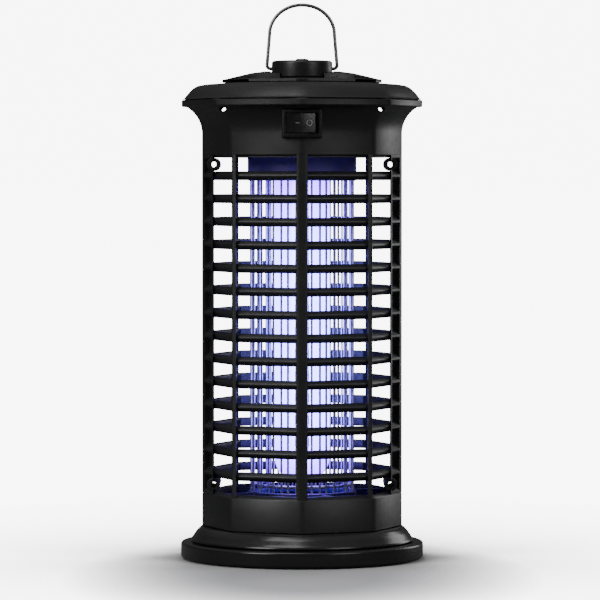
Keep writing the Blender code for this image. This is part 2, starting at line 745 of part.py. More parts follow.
def make_grid(steel, paint):
    """Two sets of upright wires, turn and turn about, between two insulating rings."""
    outer_wires = GRID_RADIUS + GRID_WIRE
    inner_wires = GRID_RADIUS - GRID_WIRE
    make_grid_set("live_grid", 0, outer_wires, 0.0280, 0.0292, GRID_TOP - 0.0040, steel)
    make_grid_set("return_grid", 1, inner_wires, 0.0249, 0.0264, GRID_BOTTOM + 0.0024, steel)
    ring_in = 0.0238
    ring_out = 0.0296
    form = bmesh.new()
    bottom = GRID_TOP + GAP
    add_turned(form, [(ring_in, bottom), (ring_out, bottom), (ring_out, 0.2202), (ring_in, 0.2202)], 28)
    add_object("upper_grid_ring", form, paint)
    form = bmesh.new()
    low = 0.0340
    high = GRID_BOTTOM - GAP
    add_turned(form, [(ring_in, low), (ring_out, low), (ring_out, high), (ring_in, high)], 28)
    lower = add_object("lower_grid_ring", form, paint)
    arm_half = 0.0020
    arm_start = ring_in + 0.0020
    arm_end = 0.0470
    form = bmesh.new()
    for turn in range(4):
        angle = HALF_STEP + math.radians(90.0) * turn
        out = (math.cos(angle), math.sin(angle))
        outline = []
        for along, across in ((arm_start, -1.0), (arm_end, -1.0), (arm_end, 1.0), (arm_start, 1.0)):
            slide = across * arm_half
            outline.append((along * out[0] - slide * out[1], along * out[1] + slide * out[0]))
        add_prism(form, outline, low + 0.0003, high - 0.0003)
    combine(lower, form, "UNION")


def make_lamp(glass, paint, brass):
    tube_top = LAMP_CAP_BOTTOM - GAP
    bend_z = LAMP_LOW + TUBE_RADIUS + TUBE_X
    path = [(-TUBE_X, 0.0, tube_top)]
    steps = 8
    for step in range(steps + 1):
        angle = math.pi * step / steps
        path.append((-TUBE_X * math.cos(angle), 0.0, bend_z - TUBE_X * math.sin(angle)))
    path.append((TUBE_X, 0.0, tube_top))
    form = bmesh.new()
    add_tube(form, path, TUBE_RADIUS, 12)
    add_object("lamp_tube", form, glass, 40.0)
    form = bmesh.new()
    add_box(form, (-0.0170, -0.0090, LAMP_CAP_BOTTOM), (0.0170, 0.0090, 0.2205))
    cap = add_object("lamp_cap", form, paint)
    bevel_edges(cap, 0.0020)
    form = bmesh.new()
    add_rod_z(form, 0.0, 0.0, 0.0012, 0.2208, 0.2285, 8)
    add_copies("lamp_pin", form, brass, [(x, 0.0, 0.0) for x in PIN_PLACES])


def bevel_edges(thing, width):
    change = thing.modifiers.new("soft_edges", "BEVEL")
    change.width = width
    change.segments = 2
    change.limit_method = "ANGLE"


# ---------------------------------------------------------------- base
def make_base(paint, rubber):
    profile = [(COLLAR_RADIUS, COLLAR_BOTTOM), (0.0604, 0.0109), (0.0594, 0.0122), (0.0578, 0.0147)]
    profile.extend([(0.0560, 0.0166), (0.0546, COLLAR_TOP), (COLLAR_BORE, COLLAR_TOP)])
    profile.append((COLLAR_BORE, COLLAR_BOTTOM))
    form = bmesh.new()
    add_turned(form, profile, 36)
    collar = add_object("base_collar", form, paint, 35.0)
    cuts = bmesh.new()
    for x, y in face_points(COLLAR_SCREW_REACH + 0.0014, SCREW_FACES):
        add_rod_z(cuts, x, y, 0.0044, COLLAR_BOTTOM - 0.001, COLLAR_SEAT + GAP)
    combine(collar, cuts, "DIFFERENCE")
    cuts = bmesh.new()
    for x, y in face_points(COLLAR_SCREW_REACH, SCREW_FACES):
        add_rod_z(cuts, x, y, SCREW_HOLE, COLLAR_BOTTOM - 0.001, COLLAR_TOP + 0.001)
    combine(collar, cuts, "DIFFERENCE")
    cup_out = 0.0430
    cup_in = 0.0414
    profile = [(0.0520, 0.0006), (0.0650, 0.0006), (FOOT_RADIUS, 0.0016), (FOOT_RADIUS, 0.0083)]
    profile.extend([(0.0655, 0.0090), (0.0645, FOOT_TOP), (cup_out, FOOT_TOP), (cup_out, 0.0310)])
    profile.extend([(cup_in, 0.0310), (cup_in, 0.0140), (0.0400, 0.0124), (0.0010, 0.0124)])
    profile.extend([(0.0010, 0.0106), (0.0395, 0.0106), (0.0410, 0.0075), (0.0520, 0.0050)])
    form = bmesh.new()
    add_turned(form, profile, 36)
    tray = add_object("catch_tray", form, paint, 35.0)
    plug = bmesh.new()
    add_rod_z(plug, 0.0, 0.0, 0.0040, 0.0108, 0.0122, 8)
    combine(tray, plug, "UNION")
    pad_radius = 0.0042
    pad_height = 0.0020
    pad_reach = 0.0585
    pad = bmesh.new()
    add_rod_z(pad, 0.0, 0.0, pad_radius, 0.0, pad_height)
    places = []
    pockets = bmesh.new()
    for foot in range(4):
        angle = STEP_ANGLE * (2 * foot + 1)
        x = pad_reach * math.cos(angle)
        y = pad_reach * math.sin(angle)
        places.append((x, y, 0.0))
        add_rod_z(pockets, x, y, pad_radius + 0.0004, -0.0010, pad_height + GAP)
    combine(tray, pockets, "DIFFERENCE")
    add_copies("rubber_foot", pad, rubber, places)


# ---------------------------------------------------------------- leads
def make_leads(red, white):
    """Short leads from the switch to the board, and from the board to the deck over the grid."""
    path = [(0.0, -0.0342, 0.0), (0.0, -0.0325, 0.0005), (0.0, -0.0300, 0.0030)]
    path.extend([(0.0, -0.0270, 0.0040), (0.0, -0.0235, 0.0035), (0.0, -0.0225, 0.0)])
    form = bmesh.new()
    add_tube(form, path, 0.0007, 6)
    add_copies("switch_lead", form, red, [(x, 0.0, SWITCH_Z) for x in LEAD_PLACES])
    path = [(0.0, 0.0, 0.2206), (0.0, 0.0, 0.2260), (0.0, -0.0010, 0.2300), (0.0, -0.0015, 0.2327)]
    form = bmesh.new()
    add_tube(form, path, 0.0007, 6)
    add_copies("grid_lead", form, white, [(-0.0255, 0.0, 0.0), (0.0255, 0.0, 0.0)])


def main():
    clear_scene()
    black = material("black_plastic", (0.020, 0.020, 0.022), 0.42)
    dark = material("dark_insulator", (0.050, 0.045, 0.070), 0.50)
    satin = material("switch_black", (0.012, 0.012, 0.013), 0.35)
    steel = material("steel_wire", (0.45, 0.45, 0.47), 0.35, 1.0)
    brass = material("brass", (0.70, 0.52, 0.25), 0.35, 1.0)
    glass = material("lamp_glass", (0.75, 0.72, 0.98), 0.10)
    white = material("white_insulator", (0.80, 0.80, 0.82), 0.45)
    rubber = material("rubber", (0.03, 0.03, 0.03), 0.85)
    green = material("circuit_board", (0.03, 0.18, 0.08), 0.50)
    blue = material("capacitor_sleeve", (0.03, 0.06, 0.25), 0.40)
    brown = material("film_coating", (0.35, 0.10, 0.04), 0.45)
    red = material("lead_red", (0.45, 0.03, 0.03), 0.50)
    make_cage(black)
    make_head(black)
    make_roof(black)
    make_vent_cap(black)
    make_hub(black)
    make_gland(rubber)
    make_bail(steel)
    make_switch(satin, brass)
    make_deck(dark)
    make_lamp_socket(white, brass)
    make_board(green, dark, blue, brown, steel)
    make_screws(steel)
    make_grid(steel, dark)
    make_lamp(glass, white, brass)
    make_base(black, rubber)
    make_leads(red, white)


main()
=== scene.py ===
"""Looks for the lantern-shaped electric insect killer.

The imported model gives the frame: metres, +Z up, front towards -Y. Each visible piece is built here with
rounded edges and finer curves inside the space of its own node, and rides on that node's body.
"""
import json
import math

import bmesh
import bpy
from mathutils import Matrix, Vector


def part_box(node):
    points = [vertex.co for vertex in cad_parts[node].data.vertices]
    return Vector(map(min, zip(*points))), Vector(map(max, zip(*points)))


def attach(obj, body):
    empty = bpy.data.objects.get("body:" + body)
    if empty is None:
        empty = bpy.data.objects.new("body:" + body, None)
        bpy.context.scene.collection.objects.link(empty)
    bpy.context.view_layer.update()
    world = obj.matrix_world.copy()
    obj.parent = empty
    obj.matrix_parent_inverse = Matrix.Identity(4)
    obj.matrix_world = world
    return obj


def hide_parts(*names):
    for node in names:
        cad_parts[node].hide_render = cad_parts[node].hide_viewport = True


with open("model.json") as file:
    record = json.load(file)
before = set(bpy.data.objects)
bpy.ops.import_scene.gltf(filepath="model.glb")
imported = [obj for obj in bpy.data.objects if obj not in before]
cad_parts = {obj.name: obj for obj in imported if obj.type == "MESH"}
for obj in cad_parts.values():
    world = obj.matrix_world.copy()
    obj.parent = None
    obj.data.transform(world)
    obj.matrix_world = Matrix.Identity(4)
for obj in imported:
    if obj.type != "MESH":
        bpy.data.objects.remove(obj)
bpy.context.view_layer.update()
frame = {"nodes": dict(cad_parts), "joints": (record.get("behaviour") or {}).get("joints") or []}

NODES = frame["nodes"]

# Driving dimensions, the same as the solids'
GAP = 0.0003
EIGHTH = math.radians(45.0)
HALF_EIGHTH = EIGHTH / 2.0
CAGE_LOW, CAGE_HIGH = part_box("front_cage")
BODY_REACH = CAGE_HIGH.x
CORNER_HALF = 0.0019
CAGE_BOTTOM = CAGE_LOW.z
RAIL_TOP = CAGE_HIGH.z
SILL = 0.0373
RAIL_BOTTOM = 0.2181
ROW_COUNT = 15
TOP_ROW = 0.2144
BOTTOM_ROW = 0.0410
ROW_PITCH = (TOP_ROW - BOTTOM_ROW) / (ROW_COUNT - 1)
SLAT_CORNER = 0.0532
SLAT_DEPTH = 0.0050
SLAT_HALF = 0.00245
SLAT_NOSE = 0.00055             # half the height of a slat's blunt front edge
SLAT_BEVEL = 0.0020
GROOVE_DEPTH = 0.0030
GROOVE_START = 0.0487
GROOVE_END = 0.0531
BOSS_PLACES = [(x, z) for x in (-0.0479, 0.0479) for z in (TOP_ROW, BOTTOM_ROW)]
BOSS_RADIUS = 0.0036
BOSS_HOLE = 0.0016
LAP_OUT = 0.0532
LAP_IN = 0.0514
LAP_DEPTH = 0.0012
HEAD_LOW, HEAD_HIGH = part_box("head_housing")
HEAD_BOTTOM = HEAD_LOW.z
RIM_TOP = HEAD_HIGH.z
RIM_REACH = HEAD_HIGH.x
RIM_BOTTOM = 0.2455
FLARE_START = 0.2310
FLARE_RADIUS = 0.0166
FLARE_SWEEP = math.radians(60.8)
ROOF_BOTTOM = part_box("roof_cover")[0].z
HUB_LOW, HUB_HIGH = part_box("top_hub")
HUB_RADIUS = HUB_HIGH.x
HUB_BOTTOM = HUB_LOW.z
HUB_TOP = HUB_HIGH.z
BAIL_PIVOT = frame["joints"][0]["pos_m"][2]
BAIL_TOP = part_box("bail")[1].z
WIRE = 0.0010
BAIL_LEG_X = 0.0190
BAIL_SHOULDER_X = 0.0176
BAIL_SHOULDER = 0.2850
SWITCH_Z = 0.2361
SWITCH_FACE = -0.0554
FOOT_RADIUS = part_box("catch_tray")[1].x
ROCKER_PIVOT = -0.0550
ROCKER_HALF = 0.0077
ROCKER_TILT = math.radians(-10.0)
GRID_RADIUS = 0.0272
GRID_WIRE = 0.0006
GRID_WIRE_COUNT = 40
COLLAR_BORE = 0.0450
COLLAR_SCREW_REACH = 0.0474
HEAD_SCREW_REACH = 0.0458
COLLAR_SEAT = 0.0130
SCREW_SHANK = 0.0011
SCREW_HEAD = 0.0026
SCREW_HOLE = 0.00145
SCREW_FACES = (1, 2, 5, 6)

# Light
LAMP_DIM = (0.16, 0.04, 0.75)
LAMP_BRIGHT = (0.23, 0.24, 1.0)
LAMP_STRENGTH = 12.0
WHITE = 8.0                     # how strongly the floor and the backdrop glow to the camera
WORLD_LIGHT = 0.06              # what the backdrop gives the pieces from the side
WORLD_TOP_LIGHT = 0.36          # and from overhead
FLOOR_HALF = 60.0
# Painted shadow: the pool below is an oval gradient painted into the floor's glow.
POOL_AHEAD = 0.10               # the pool of shadow in front: its middle, length, width and darkness
POOL_LENGTH = 0.18
POOL_WIDTH = 0.110
POOL_DEPTH = 0.50


# ---- Mesh tools
SMOOTH_BELOW = {}


def add_object(name, form, smooth_below=35.0):
    """Turns a bmesh into a named object with its faces pointing out."""
    bmesh.ops.recalc_face_normals(form, faces=form.faces)
    mesh = bpy.data.meshes.new(name)
    form.to_mesh(mesh)
    form.free()
    thing = bpy.data.objects.new(name, mesh)
    bpy.context.scene.collection.objects.link(thing)
    SMOOTH_BELOW[thing.name] = smooth_below
    smooth(thing)
    return thing


def smooth(thing):
    """Shades an object smooth, but for edges that turn by more than its own angle."""
    thing.data.shade_smooth()
    thing.data.set_sharp_from_angle(angle=math.radians(SMOOTH_BELOW[thing.name]))


def add_loft(form, rings, is_loop=False):
    """Skins rings of equal count. A loop joins the last ring to the first, otherwise both are capped."""
    rows = [[form.verts.new(point) for point in ring] for ring in rings]
    pairs = list(zip(rows, rows[1:]))
    if is_loop:
        pairs.append((rows[-1], rows[0]))
    else:
        form.faces.new(rows[0])
        form.faces.new(rows[-1])
    count = len(rings[0])
    for lower, upper in pairs:
        for index in range(count):
            after = (index + 1) % count
            form.faces.new((lower[index], lower[after], upper[after], upper[index]))


def shape(add_to, *values):
    """A new bmesh with one kind of shape in it."""
    form = bmesh.new()
    add_to(form, *values)
    return form


def at_height(outline, z):
    return [(x, y, z) for x, y in outline]


def add_prism(form, outline, bottom, top):
    add_loft(form, [at_height(outline, bottom), at_height(outline, top)])


def add_box(form, low, high):
    outline = [(low[0], low[1]), (high[0], low[1]), (high[0], high[1]), (low[0], high[1])]
    add_prism(form, outline, low[2], high[2])


def circle(radius, count, x=0.0, y=0.0):
    points = []
    for index in range(count):
        angle = 2.0 * math.pi * index / count
        points.append((x + radius * math.cos(angle), y + radius * math.sin(angle)))
    return points


def add_rod(form, axis, first, second, radius, start, end, count=24):
    """A rod along one axis. First and second place it on the other two, in X, Y, Z order."""
    ring = circle(radius, count, first, second)
    if axis == "X":
        rings = [[(at, u, v) for u, v in ring] for at in (start, end)]
    elif axis == "Y":
        rings = [[(u, at, v) for u, v in ring] for at in (start, end)]
    else:
        rings = [[(u, v, at) for u, v in ring] for at in (start, end)]
    add_loft(form, rings)


def rounded(profile, radius, steps=3, is_closed=True):
    """Rounds a profile's corners, each with a short curve that starts and ends this far from it."""
    count = len(profile)
    result = []
    for index, point in enumerate(profile):
        if not is_closed and index in (0, count - 1):
            result.append(point)
            continue
        here = Vector(point)
        before = Vector(profile[index - 1]) - here
        after = Vector(profile[(index + 1) % count]) - here
        trim = min(radius, 0.45 * before.length, 0.45 * after.length)
        start = here + before.normalized() * trim
        end = here + after.normalized() * trim
        for step in range(steps + 1):
            part = step / steps
            curve = start * (1.0 - part) ** 2 + here * (2.0 * part * (1.0 - part)) + end * part ** 2
            result.append(tuple(curve))
    return result


def add_turned(form, profile, count):
    """Turns a closed (radius, z) profile that stays off the axis."""
    add_loft(form, [at_height(circle(radius, count), z) for radius, z in profile], is_loop=True)


def add_tube(form, path, radius, count):
    """Sweeps a round section along a path of points."""
    rings = []
    normal = None
    for index, point in enumerate(path):
        before = path[max(index - 1, 0)]
        after = path[min(index + 1, len(path) - 1)]
        along = (Vector(after) - Vector(before)).normalized()
        if normal is None:
            normal = along.orthogonal().normalized()
        normal = (normal - along * normal.dot(along)).normalized()
        across = along.cross(normal)
        ring = []
        for step in range(count):
            angle = 2.0 * math.pi * step / count
            offset = normal * (radius * math.cos(angle)) + across * (radius * math.sin(angle))
            ring.append(tuple(Vector(point) + offset))
        rings.append(ring)
    add_loft(form, rings)


def combine(target, tool_form, operation):
    """Joins a bmesh to an object, or cuts it out, and keeps the result as the object's mesh."""
    tool = add_object("tool", tool_form)
    change = target.modifiers.new("change", "BOOLEAN")
    change.operation = operation
    change.solver = "EXACT"
    change.object = tool
    bpy.context.view_layer.update()
    seen = target.evaluated_get(bpy.context.evaluated_depsgraph_get())
    mesh = bpy.data.meshes.new_from_object(seen)
    target.modifiers.remove(change)
    target.data = mesh
    bpy.data.objects.remove(tool, do_unlink=True)
    smooth(target)


def join(target, add_to, *values):
    combine(target, shape(add_to, *values), "UNION")


def cut(target, add_to, *values):
    combine(target, shape(add_to, *values), "DIFFERENCE")


def soften(thing, width, segments=2, angle=30.0):
    """Rounds an object's sharp edges and keeps its flats looking flat."""
    change = thing.modifiers.new("soft_edges", "BEVEL")
    change.width = width
    change.segments = segments
    change.limit_method = "ANGLE"
    change.angle_limit = math.radians(angle)
    change.harden_normals = True
    change.use_clamp_overlap = True


def place(thing, body, slot, material, *nodes):
    """Gives a piece its material and body, and hides the nodes that it stands for. The record slot is not
    used.
    """
    thing.data.materials.clear()
    thing.data.materials.append(material)
    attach(thing, body)
    if nodes:
        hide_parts(*nodes)
    return thing


# ---- Material tools
class Nodes:
    """A short way to build the node tree of one material, or of the world."""

    def __init__(self, name, is_world=False):
        self.owner = (bpy.data.worlds if is_world else bpy.data.materials).new(name)
        self.owner.use_nodes = True
        self.tree = self.owner.node_tree
        self.shader = self.tree.nodes["Background" if is_world else "Principled BSDF"]
        self.place = self.add("ShaderNodeTexCoord").outputs["Generated" if is_world else "Object"]

    def add(self, kind, **settings):
        node = self.tree.nodes.new(kind)
        for key, value in settings.items():
            setattr(node, key, value)
        return node

    def link(self, source, target):
        self.tree.links.new(source, target)

    def stretched(self, scale, shift=(0.0, 0.0, 0.0)):
        """The piece's own coordinates, scaled along each axis, then shifted."""
        mapping = self.add("ShaderNodeMapping")
        mapping.inputs["Scale"].default_value = scale
        mapping.inputs["Location"].default_value = shift
        self.link(self.place, mapping.inputs["Vector"])
        return mapping.outputs["Vector"]

    def height(self, vector):
        """A vector's Z part."""
        split = self.add("ShaderNodeSeparateXYZ")
        self.link(vector, split.inputs["Vector"])
        return split.outputs["Z"]

    def noise(self, scale, detail=3.0, roughness=0.55, where=None):
        node = self.add("ShaderNodeTexNoise")
        node.inputs["Scale"].default_value = scale
        node.inputs["Detail"].default_value = detail
        node.inputs["Roughness"].default_value = roughness
        self.link(where or self.place, node.inputs["Vector"])
        return node.outputs["Fac"]

    def spread(self, value, low, high, start=0.3, end=0.7):
        """Maps a value from start..end to low..high, and holds it there outside."""
        node = self.add("ShaderNodeMapRange")
        node.inputs["From Min"].default_value = start
        node.inputs["From Max"].default_value = end
        node.inputs["To Min"].default_value = low
        node.inputs["To Max"].default_value = high
        self.link(value, node.inputs["Value"])
        return node.outputs["Result"]

    def feed(self, sockets, values):
        """Each value is a number, a colour or another node's output."""
        for socket, value in zip(sockets, values):
            if isinstance(value, float):
                socket.default_value = value
            elif isinstance(value, tuple):
                socket.default_value = (*value, 1.0)
            else:
                self.link(value, socket)

    def sums(self, operation, first, second, is_clamped=True):
        node = self.add("ShaderNodeMath", operation=operation, use_clamp=is_clamped)
        self.feed(node.inputs, (first, second))
        return node.outputs["Value"]

    def blend(self, factor, first, second):
        """Mixes two colours."""
        node = self.add("ShaderNodeMix", data_type="RGBA")
        self.link(factor, node.inputs["Factor"])
        self.feed(node.inputs[6:8], (first, second))
        return node.outputs[2]

    def edges(self, width):
        """1 along convex edges of this width, 0 on flat ground, broken up by noise."""
        bevel = self.add("ShaderNodeBevel", samples=4)
        bevel.inputs["Radius"].default_value = width
        ground = self.add("ShaderNodeNewGeometry")
        dot = self.add("ShaderNodeVectorMath", operation="DOT_PRODUCT")
        self.link(bevel.outputs["Normal"], dot.inputs[0])
        self.link(ground.outputs["Normal"], dot.inputs[1])
        turned = self.spread(dot.outputs["Value"], 1.0, 0.0, 0.80, 0.995)
        return self.sums("MULTIPLY", turned, self.spread(self.noise(900.0, 4.0), 0.0, 1.0, 0.42, 0.62))

    def dust(self):
        """More on faces that look up."""
        ground = self.add("ShaderNodeNewGeometry")
        up = self.spread(self.height(ground.outputs["Normal"]), 0.0, 1.0, 0.35, 1.0)
        return self.sums("MULTIPLY", up, self.spread(self.noise(520.0, 5.0, 0.7), 0.0, 0.7, 0.42, 0.80))

    def colour(self, value):
        self.link(value, self.shader.inputs["Base Color"])

    def gloss(self, value):
        self.link(value, self.shader.inputs["Roughness"])

    def bump(self, height, strength, distance):
        node = self.add("ShaderNodeBump")
        node.inputs["Strength"].default_value = strength
        node.inputs["Distance"].default_value = distance
        self.link(height, node.inputs["Height"])
        self.link(node.outputs["Normal"], self.shader.inputs["Normal"])

    def fixed(self, **values):
        names = {"metallic": "Metallic", "glow": "Emission Strength", "coat": "Coat Weight"}
        names["coat_roughness"] = "Coat Roughness"
        for key, value in values.items():
            self.shader.inputs[names[key]].default_value = value


def moulded_plastic(name, base, worn, dusty, low, high, grain=2600.0, depth=0.00004):
    """Injection-moulded plastic: fine spark-eroded grain, uneven gloss, rubbed edges and a little dust."""
    nodes = Nodes(name)
    tone = nodes.spread(nodes.noise(35.0, 4.0), 0.0, 1.0)
    shade = tuple(0.72 * part for part in base)
    body = nodes.blend(tone, shade, base)
    body = nodes.blend(nodes.edges(0.0005), body, worn)
    body = nodes.blend(nodes.dust(), body, dusty)
    nodes.colour(body)
    flow = nodes.noise(14.0, 3.0, 0.5, nodes.stretched((1.0, 1.0, 3.0)))
    smear = nodes.spread(flow, low, high)
    fine = nodes.spread(nodes.noise(420.0, 2.0), -0.03, 0.05)
    nodes.gloss(nodes.sums("ADD", smear, fine))
    nodes.bump(nodes.noise(grain, 2.0, 0.6), 0.35, depth)
    return nodes.owner


def bare_metal(name, base, dark, low, high, along, depth=0.00003):
    """Drawn or turned metal with fine marks along one direction and small dull patches."""
    nodes = Nodes(name)
    lines = nodes.noise(1.0, 3.0, 0.6, nodes.stretched(along))
    patches = nodes.spread(nodes.noise(240.0, 4.0), 0.0, 0.65, 0.5, 0.75)
    nodes.colour(nodes.blend(patches, base, dark))
    nodes.gloss(nodes.spread(lines, low, high))
    nodes.bump(lines, 0.3, depth)
    nodes.fixed(metallic=1.0)
    return nodes.owner


def rubber_material():
    nodes = Nodes("soft_rubber")
    tone = nodes.spread(nodes.noise(300.0, 4.0), 0.0, 1.0)
    nodes.colour(nodes.blend(tone, (0.014, 0.014, 0.014), (0.032, 0.031, 0.030)))
    nodes.gloss(nodes.spread(nodes.noise(500.0), 0.70, 0.92))
    nodes.bump(nodes.noise(3200.0, 2.0), 0.5, 0.00005)
    return nodes.owner


def lamp_material(low, high):
    """Phosphor-coated glass, lit. It is dimmer and bluer towards both ends, where the electrodes sit."""
    nodes = Nodes("lit_phosphor_glass")
    height = nodes.height(nodes.place)
    foot = nodes.spread(height, 0.0, 1.0, low, low + 0.036)
    head = nodes.spread(height, 1.0, 0.0, high - 0.036, high)
    lit = nodes.sums("MULTIPLY", foot, head)
    cloud = nodes.spread(nodes.noise(90.0, 3.0), 0.88, 1.0)
    lit = nodes.sums("MULTIPLY", lit, cloud)
    nodes.colour(nodes.blend(lit, (0.55, 0.50, 0.85), (0.86, 0.86, 0.98)))
    nodes.link(nodes.blend(lit, LAMP_DIM, LAMP_BRIGHT), nodes.shader.inputs["Emission Color"])
    nodes.gloss(nodes.spread(nodes.noise(60.0), 0.05, 0.14))
    nodes.bump(nodes.noise(700.0, 2.0), 0.08, 0.00003)
    nodes.fixed(glow=LAMP_STRENGTH, coat=0.6, coat_roughness=0.04)
    return nodes.owner


def board_material():
    """Green solder mask with paler copper tracks under it."""
    nodes = Nodes("circuit_board_green")
    bricks = nodes.add("ShaderNodeTexBrick")
    bricks.inputs["Scale"].default_value = 190.0
    bricks.inputs["Mortar Size"].default_value = 0.045
    bricks.inputs["Color1"].default_value = (0.012, 0.110, 0.045, 1.0)
    bricks.inputs["Color2"].default_value = (0.018, 0.145, 0.060, 1.0)
    bricks.inputs["Mortar"].default_value = (0.060, 0.260, 0.100, 1.0)
    nodes.link(nodes.place, bricks.inputs["Vector"])
    nodes.colour(bricks.outputs["Color"])
    nodes.gloss(nodes.spread(nodes.noise(200.0), 0.25, 0.45))
    nodes.bump(bricks.outputs["Fac"], 0.25, 0.00005)
    return nodes.owner


def wrapped_film(name, base, pale):
    """Shrink sleeve or dipped coating: glossy, slightly rippled."""
    nodes = Nodes(name)
    ripple = nodes.noise(260.0, 3.0)
    nodes.colour(nodes.blend(nodes.spread(ripple, 0.0, 1.0), base, pale))
    nodes.gloss(nodes.spread(nodes.noise(400.0), 0.18, 0.38))
    nodes.bump(ripple, 0.25, 0.0001)
    return nodes.owner


def make_materials():
    black = ((0.0135, 0.0135, 0.0145), (0.052, 0.052, 0.056), (0.026, 0.026, 0.027))
    switch_black = ((0.010, 0.010, 0.011), (0.050, 0.050, 0.053), (0.030, 0.030, 0.031))
    ink = ((0.34, 0.34, 0.33), (0.20, 0.20, 0.20), (0.26, 0.26, 0.25))
    # Painted light: the dark insulators are coloured violet for the lamp's light that falls on them. The
    # lower ring's copy is darker still, as painted shade.
    lamp_lit_violet = ((0.200, 0.140, 0.550), (0.26, 0.20, 0.60), (0.16, 0.12, 0.36))
    shaded_lamp_lit_violet = ((0.050, 0.030, 0.170), (0.08, 0.05, 0.22), (0.06, 0.045, 0.14))
    cream = ((0.76, 0.75, 0.73), (0.84, 0.84, 0.82), (0.55, 0.53, 0.48))
    steel = ((0.24, 0.24, 0.25), (0.10, 0.10, 0.11))
    # Painted light: the nickel and its dull patches are tinted violet for the lamp's light on the wires.
    violet_lit_nickel = ((0.72, 0.68, 0.88), (0.34, 0.28, 0.60))
    zinc = ((0.56, 0.56, 0.55), (0.30, 0.28, 0.24))
    brass = ((0.72, 0.52, 0.24), (0.36, 0.24, 0.10))
    low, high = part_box("lamp_tube")
    return {
        "shell": moulded_plastic("black_shell_plastic", *black, 0.34, 0.50),
        "roof": moulded_plastic("black_roof_plastic", *black, 0.30, 0.46, 1900.0, 0.00005),
        "base": moulded_plastic("black_base_plastic", *black, 0.15, 0.25, 2600.0, 0.000012),
        "switch": moulded_plastic("black_switch_plastic", *switch_black, 0.26, 0.40, 3600.0),
        "mark": moulded_plastic("pale_switch_ink", *ink, 0.50, 0.70),
        "insulator": moulded_plastic("dark_insulator_plastic", *lamp_lit_violet, 0.45, 0.60),
        "low_insulator": moulded_plastic("deep_insulator_plastic", *shaded_lamp_lit_violet, 0.45, 0.60),
        "white": moulded_plastic("white_heatproof_plastic", *cream, 0.38, 0.55),
        "rubber": rubber_material(),
        "wire": bare_metal("drawn_steel_wire", *steel, 0.26, 0.42, (900.0, 900.0, 90.0)),
        "grid": bare_metal("nickel_grid_wire", *violet_lit_nickel, 0.26, 0.46, (1500.0, 1500.0, 240.0)),
        "screw": bare_metal("zinc_screw_steel", *zinc, 0.28, 0.48, (700.0, 700.0, 700.0)),
        "brass": bare_metal("stamped_brass", *brass, 0.26, 0.46, (500.0, 500.0, 500.0)),
        "lamp": lamp_material(low.z, high.z),
        "board": board_material(),
        "sleeve": wrapped_film("blue_capacitor_sleeve", (0.015, 0.035, 0.20), (0.03, 0.07, 0.30)),
        "dip": wrapped_film("brown_dipped_coating", (0.26, 0.07, 0.02), (0.40, 0.13, 0.05)),
        "red": wrapped_film("red_lead_insulation", (0.40, 0.02, 0.02), (0.52, 0.05, 0.04)),
    }


# ---- Octagon outlines
def corner_half_at(reach):
    return CORNER_HALF + (reach - BODY_REACH) * (1.0 - math.cos(HALF_EIGHTH)) / math.sin(HALF_EIGHTH)


def octagon(reach, corner_half=None):
    """All sixteen points, with a blunted corner at the front."""
    if corner_half is None:
        corner_half = corner_half_at(reach)
    points = []
    for corner in range(8):
        angle = math.pi + EIGHTH * corner
        out = (math.cos(angle), math.sin(angle))
        for side in (-1.0, 1.0):
            slide = side * corner_half
            points.append((reach * out[0] - slide * out[1], reach * out[1] + slide * out[0]))
    return points


def add_octagon_loop(form, profile, corner_half):
    """Takes a closed (reach, z) profile round the octagon."""
    add_loft(form, [at_height(octagon(reach, corner_half), z) for reach, z in profile], is_loop=True)


def half_octagon(reach):
    """The front half, open at the split plane Y = 0."""
    edge = -GAP / 2.0
    return [(-reach, edge)] + octagon(reach)[1:9] + [(reach, edge)]


def half_ring(outer_reach, inner_reach):
    return half_octagon(outer_reach) + list(reversed(half_octagon(inner_reach)))


def front_face_y(x):
    return -BODY_REACH + (abs(x) - CORNER_HALF) * math.tan(HALF_EIGHTH)


def side_face_y(x):
    return -CORNER_HALF + (abs(x) - BODY_REACH) / math.tan(HALF_EIGHTH)


def face_points(reach, faces):
    """Points in the middle of the octagon's faces. Faces 1 and 2 are the two at the front."""
    points = []
    for face in faces:
        angle = math.pi + EIGHTH * (face + 0.5)
        points.append((reach * math.cos(angle), reach * math.sin(angle)))
    return points


# ---- Cage
def add_band(form, stations, inner_reach):
    """A half ring whose outer wall follows (reach, z) stations."""
    add_loft(form, [at_height(half_ring(reach, inner_reach), z) for reach, z in stations])


def add_cage_bands(form):
    """The lower band with its bevelled sill, and the rail under the head."""
    small = 0.0003
    add_band(form, [
        (BODY_REACH - small, CAGE_BOTTOM),
        (BODY_REACH, CAGE_BOTTOM + small),
        (BODY_REACH, 0.0352),
        (BODY_REACH - 0.0002, 0.0357),
        (BODY_REACH - 0.0017, 0.0370),
        (BODY_REACH - 0.0022, SILL),
    ], BODY_REACH - 0.0034)
    add_band(form, [
        (BODY_REACH - 0.0020, RAIL_BOTTOM),
        (BODY_REACH - 0.0015, RAIL_BOTTOM + small),
        (BODY_REACH - 0.0001, RAIL_TOP - small),
        (BODY_REACH, RAIL_TOP),
    ], BODY_REACH - 0.0080)


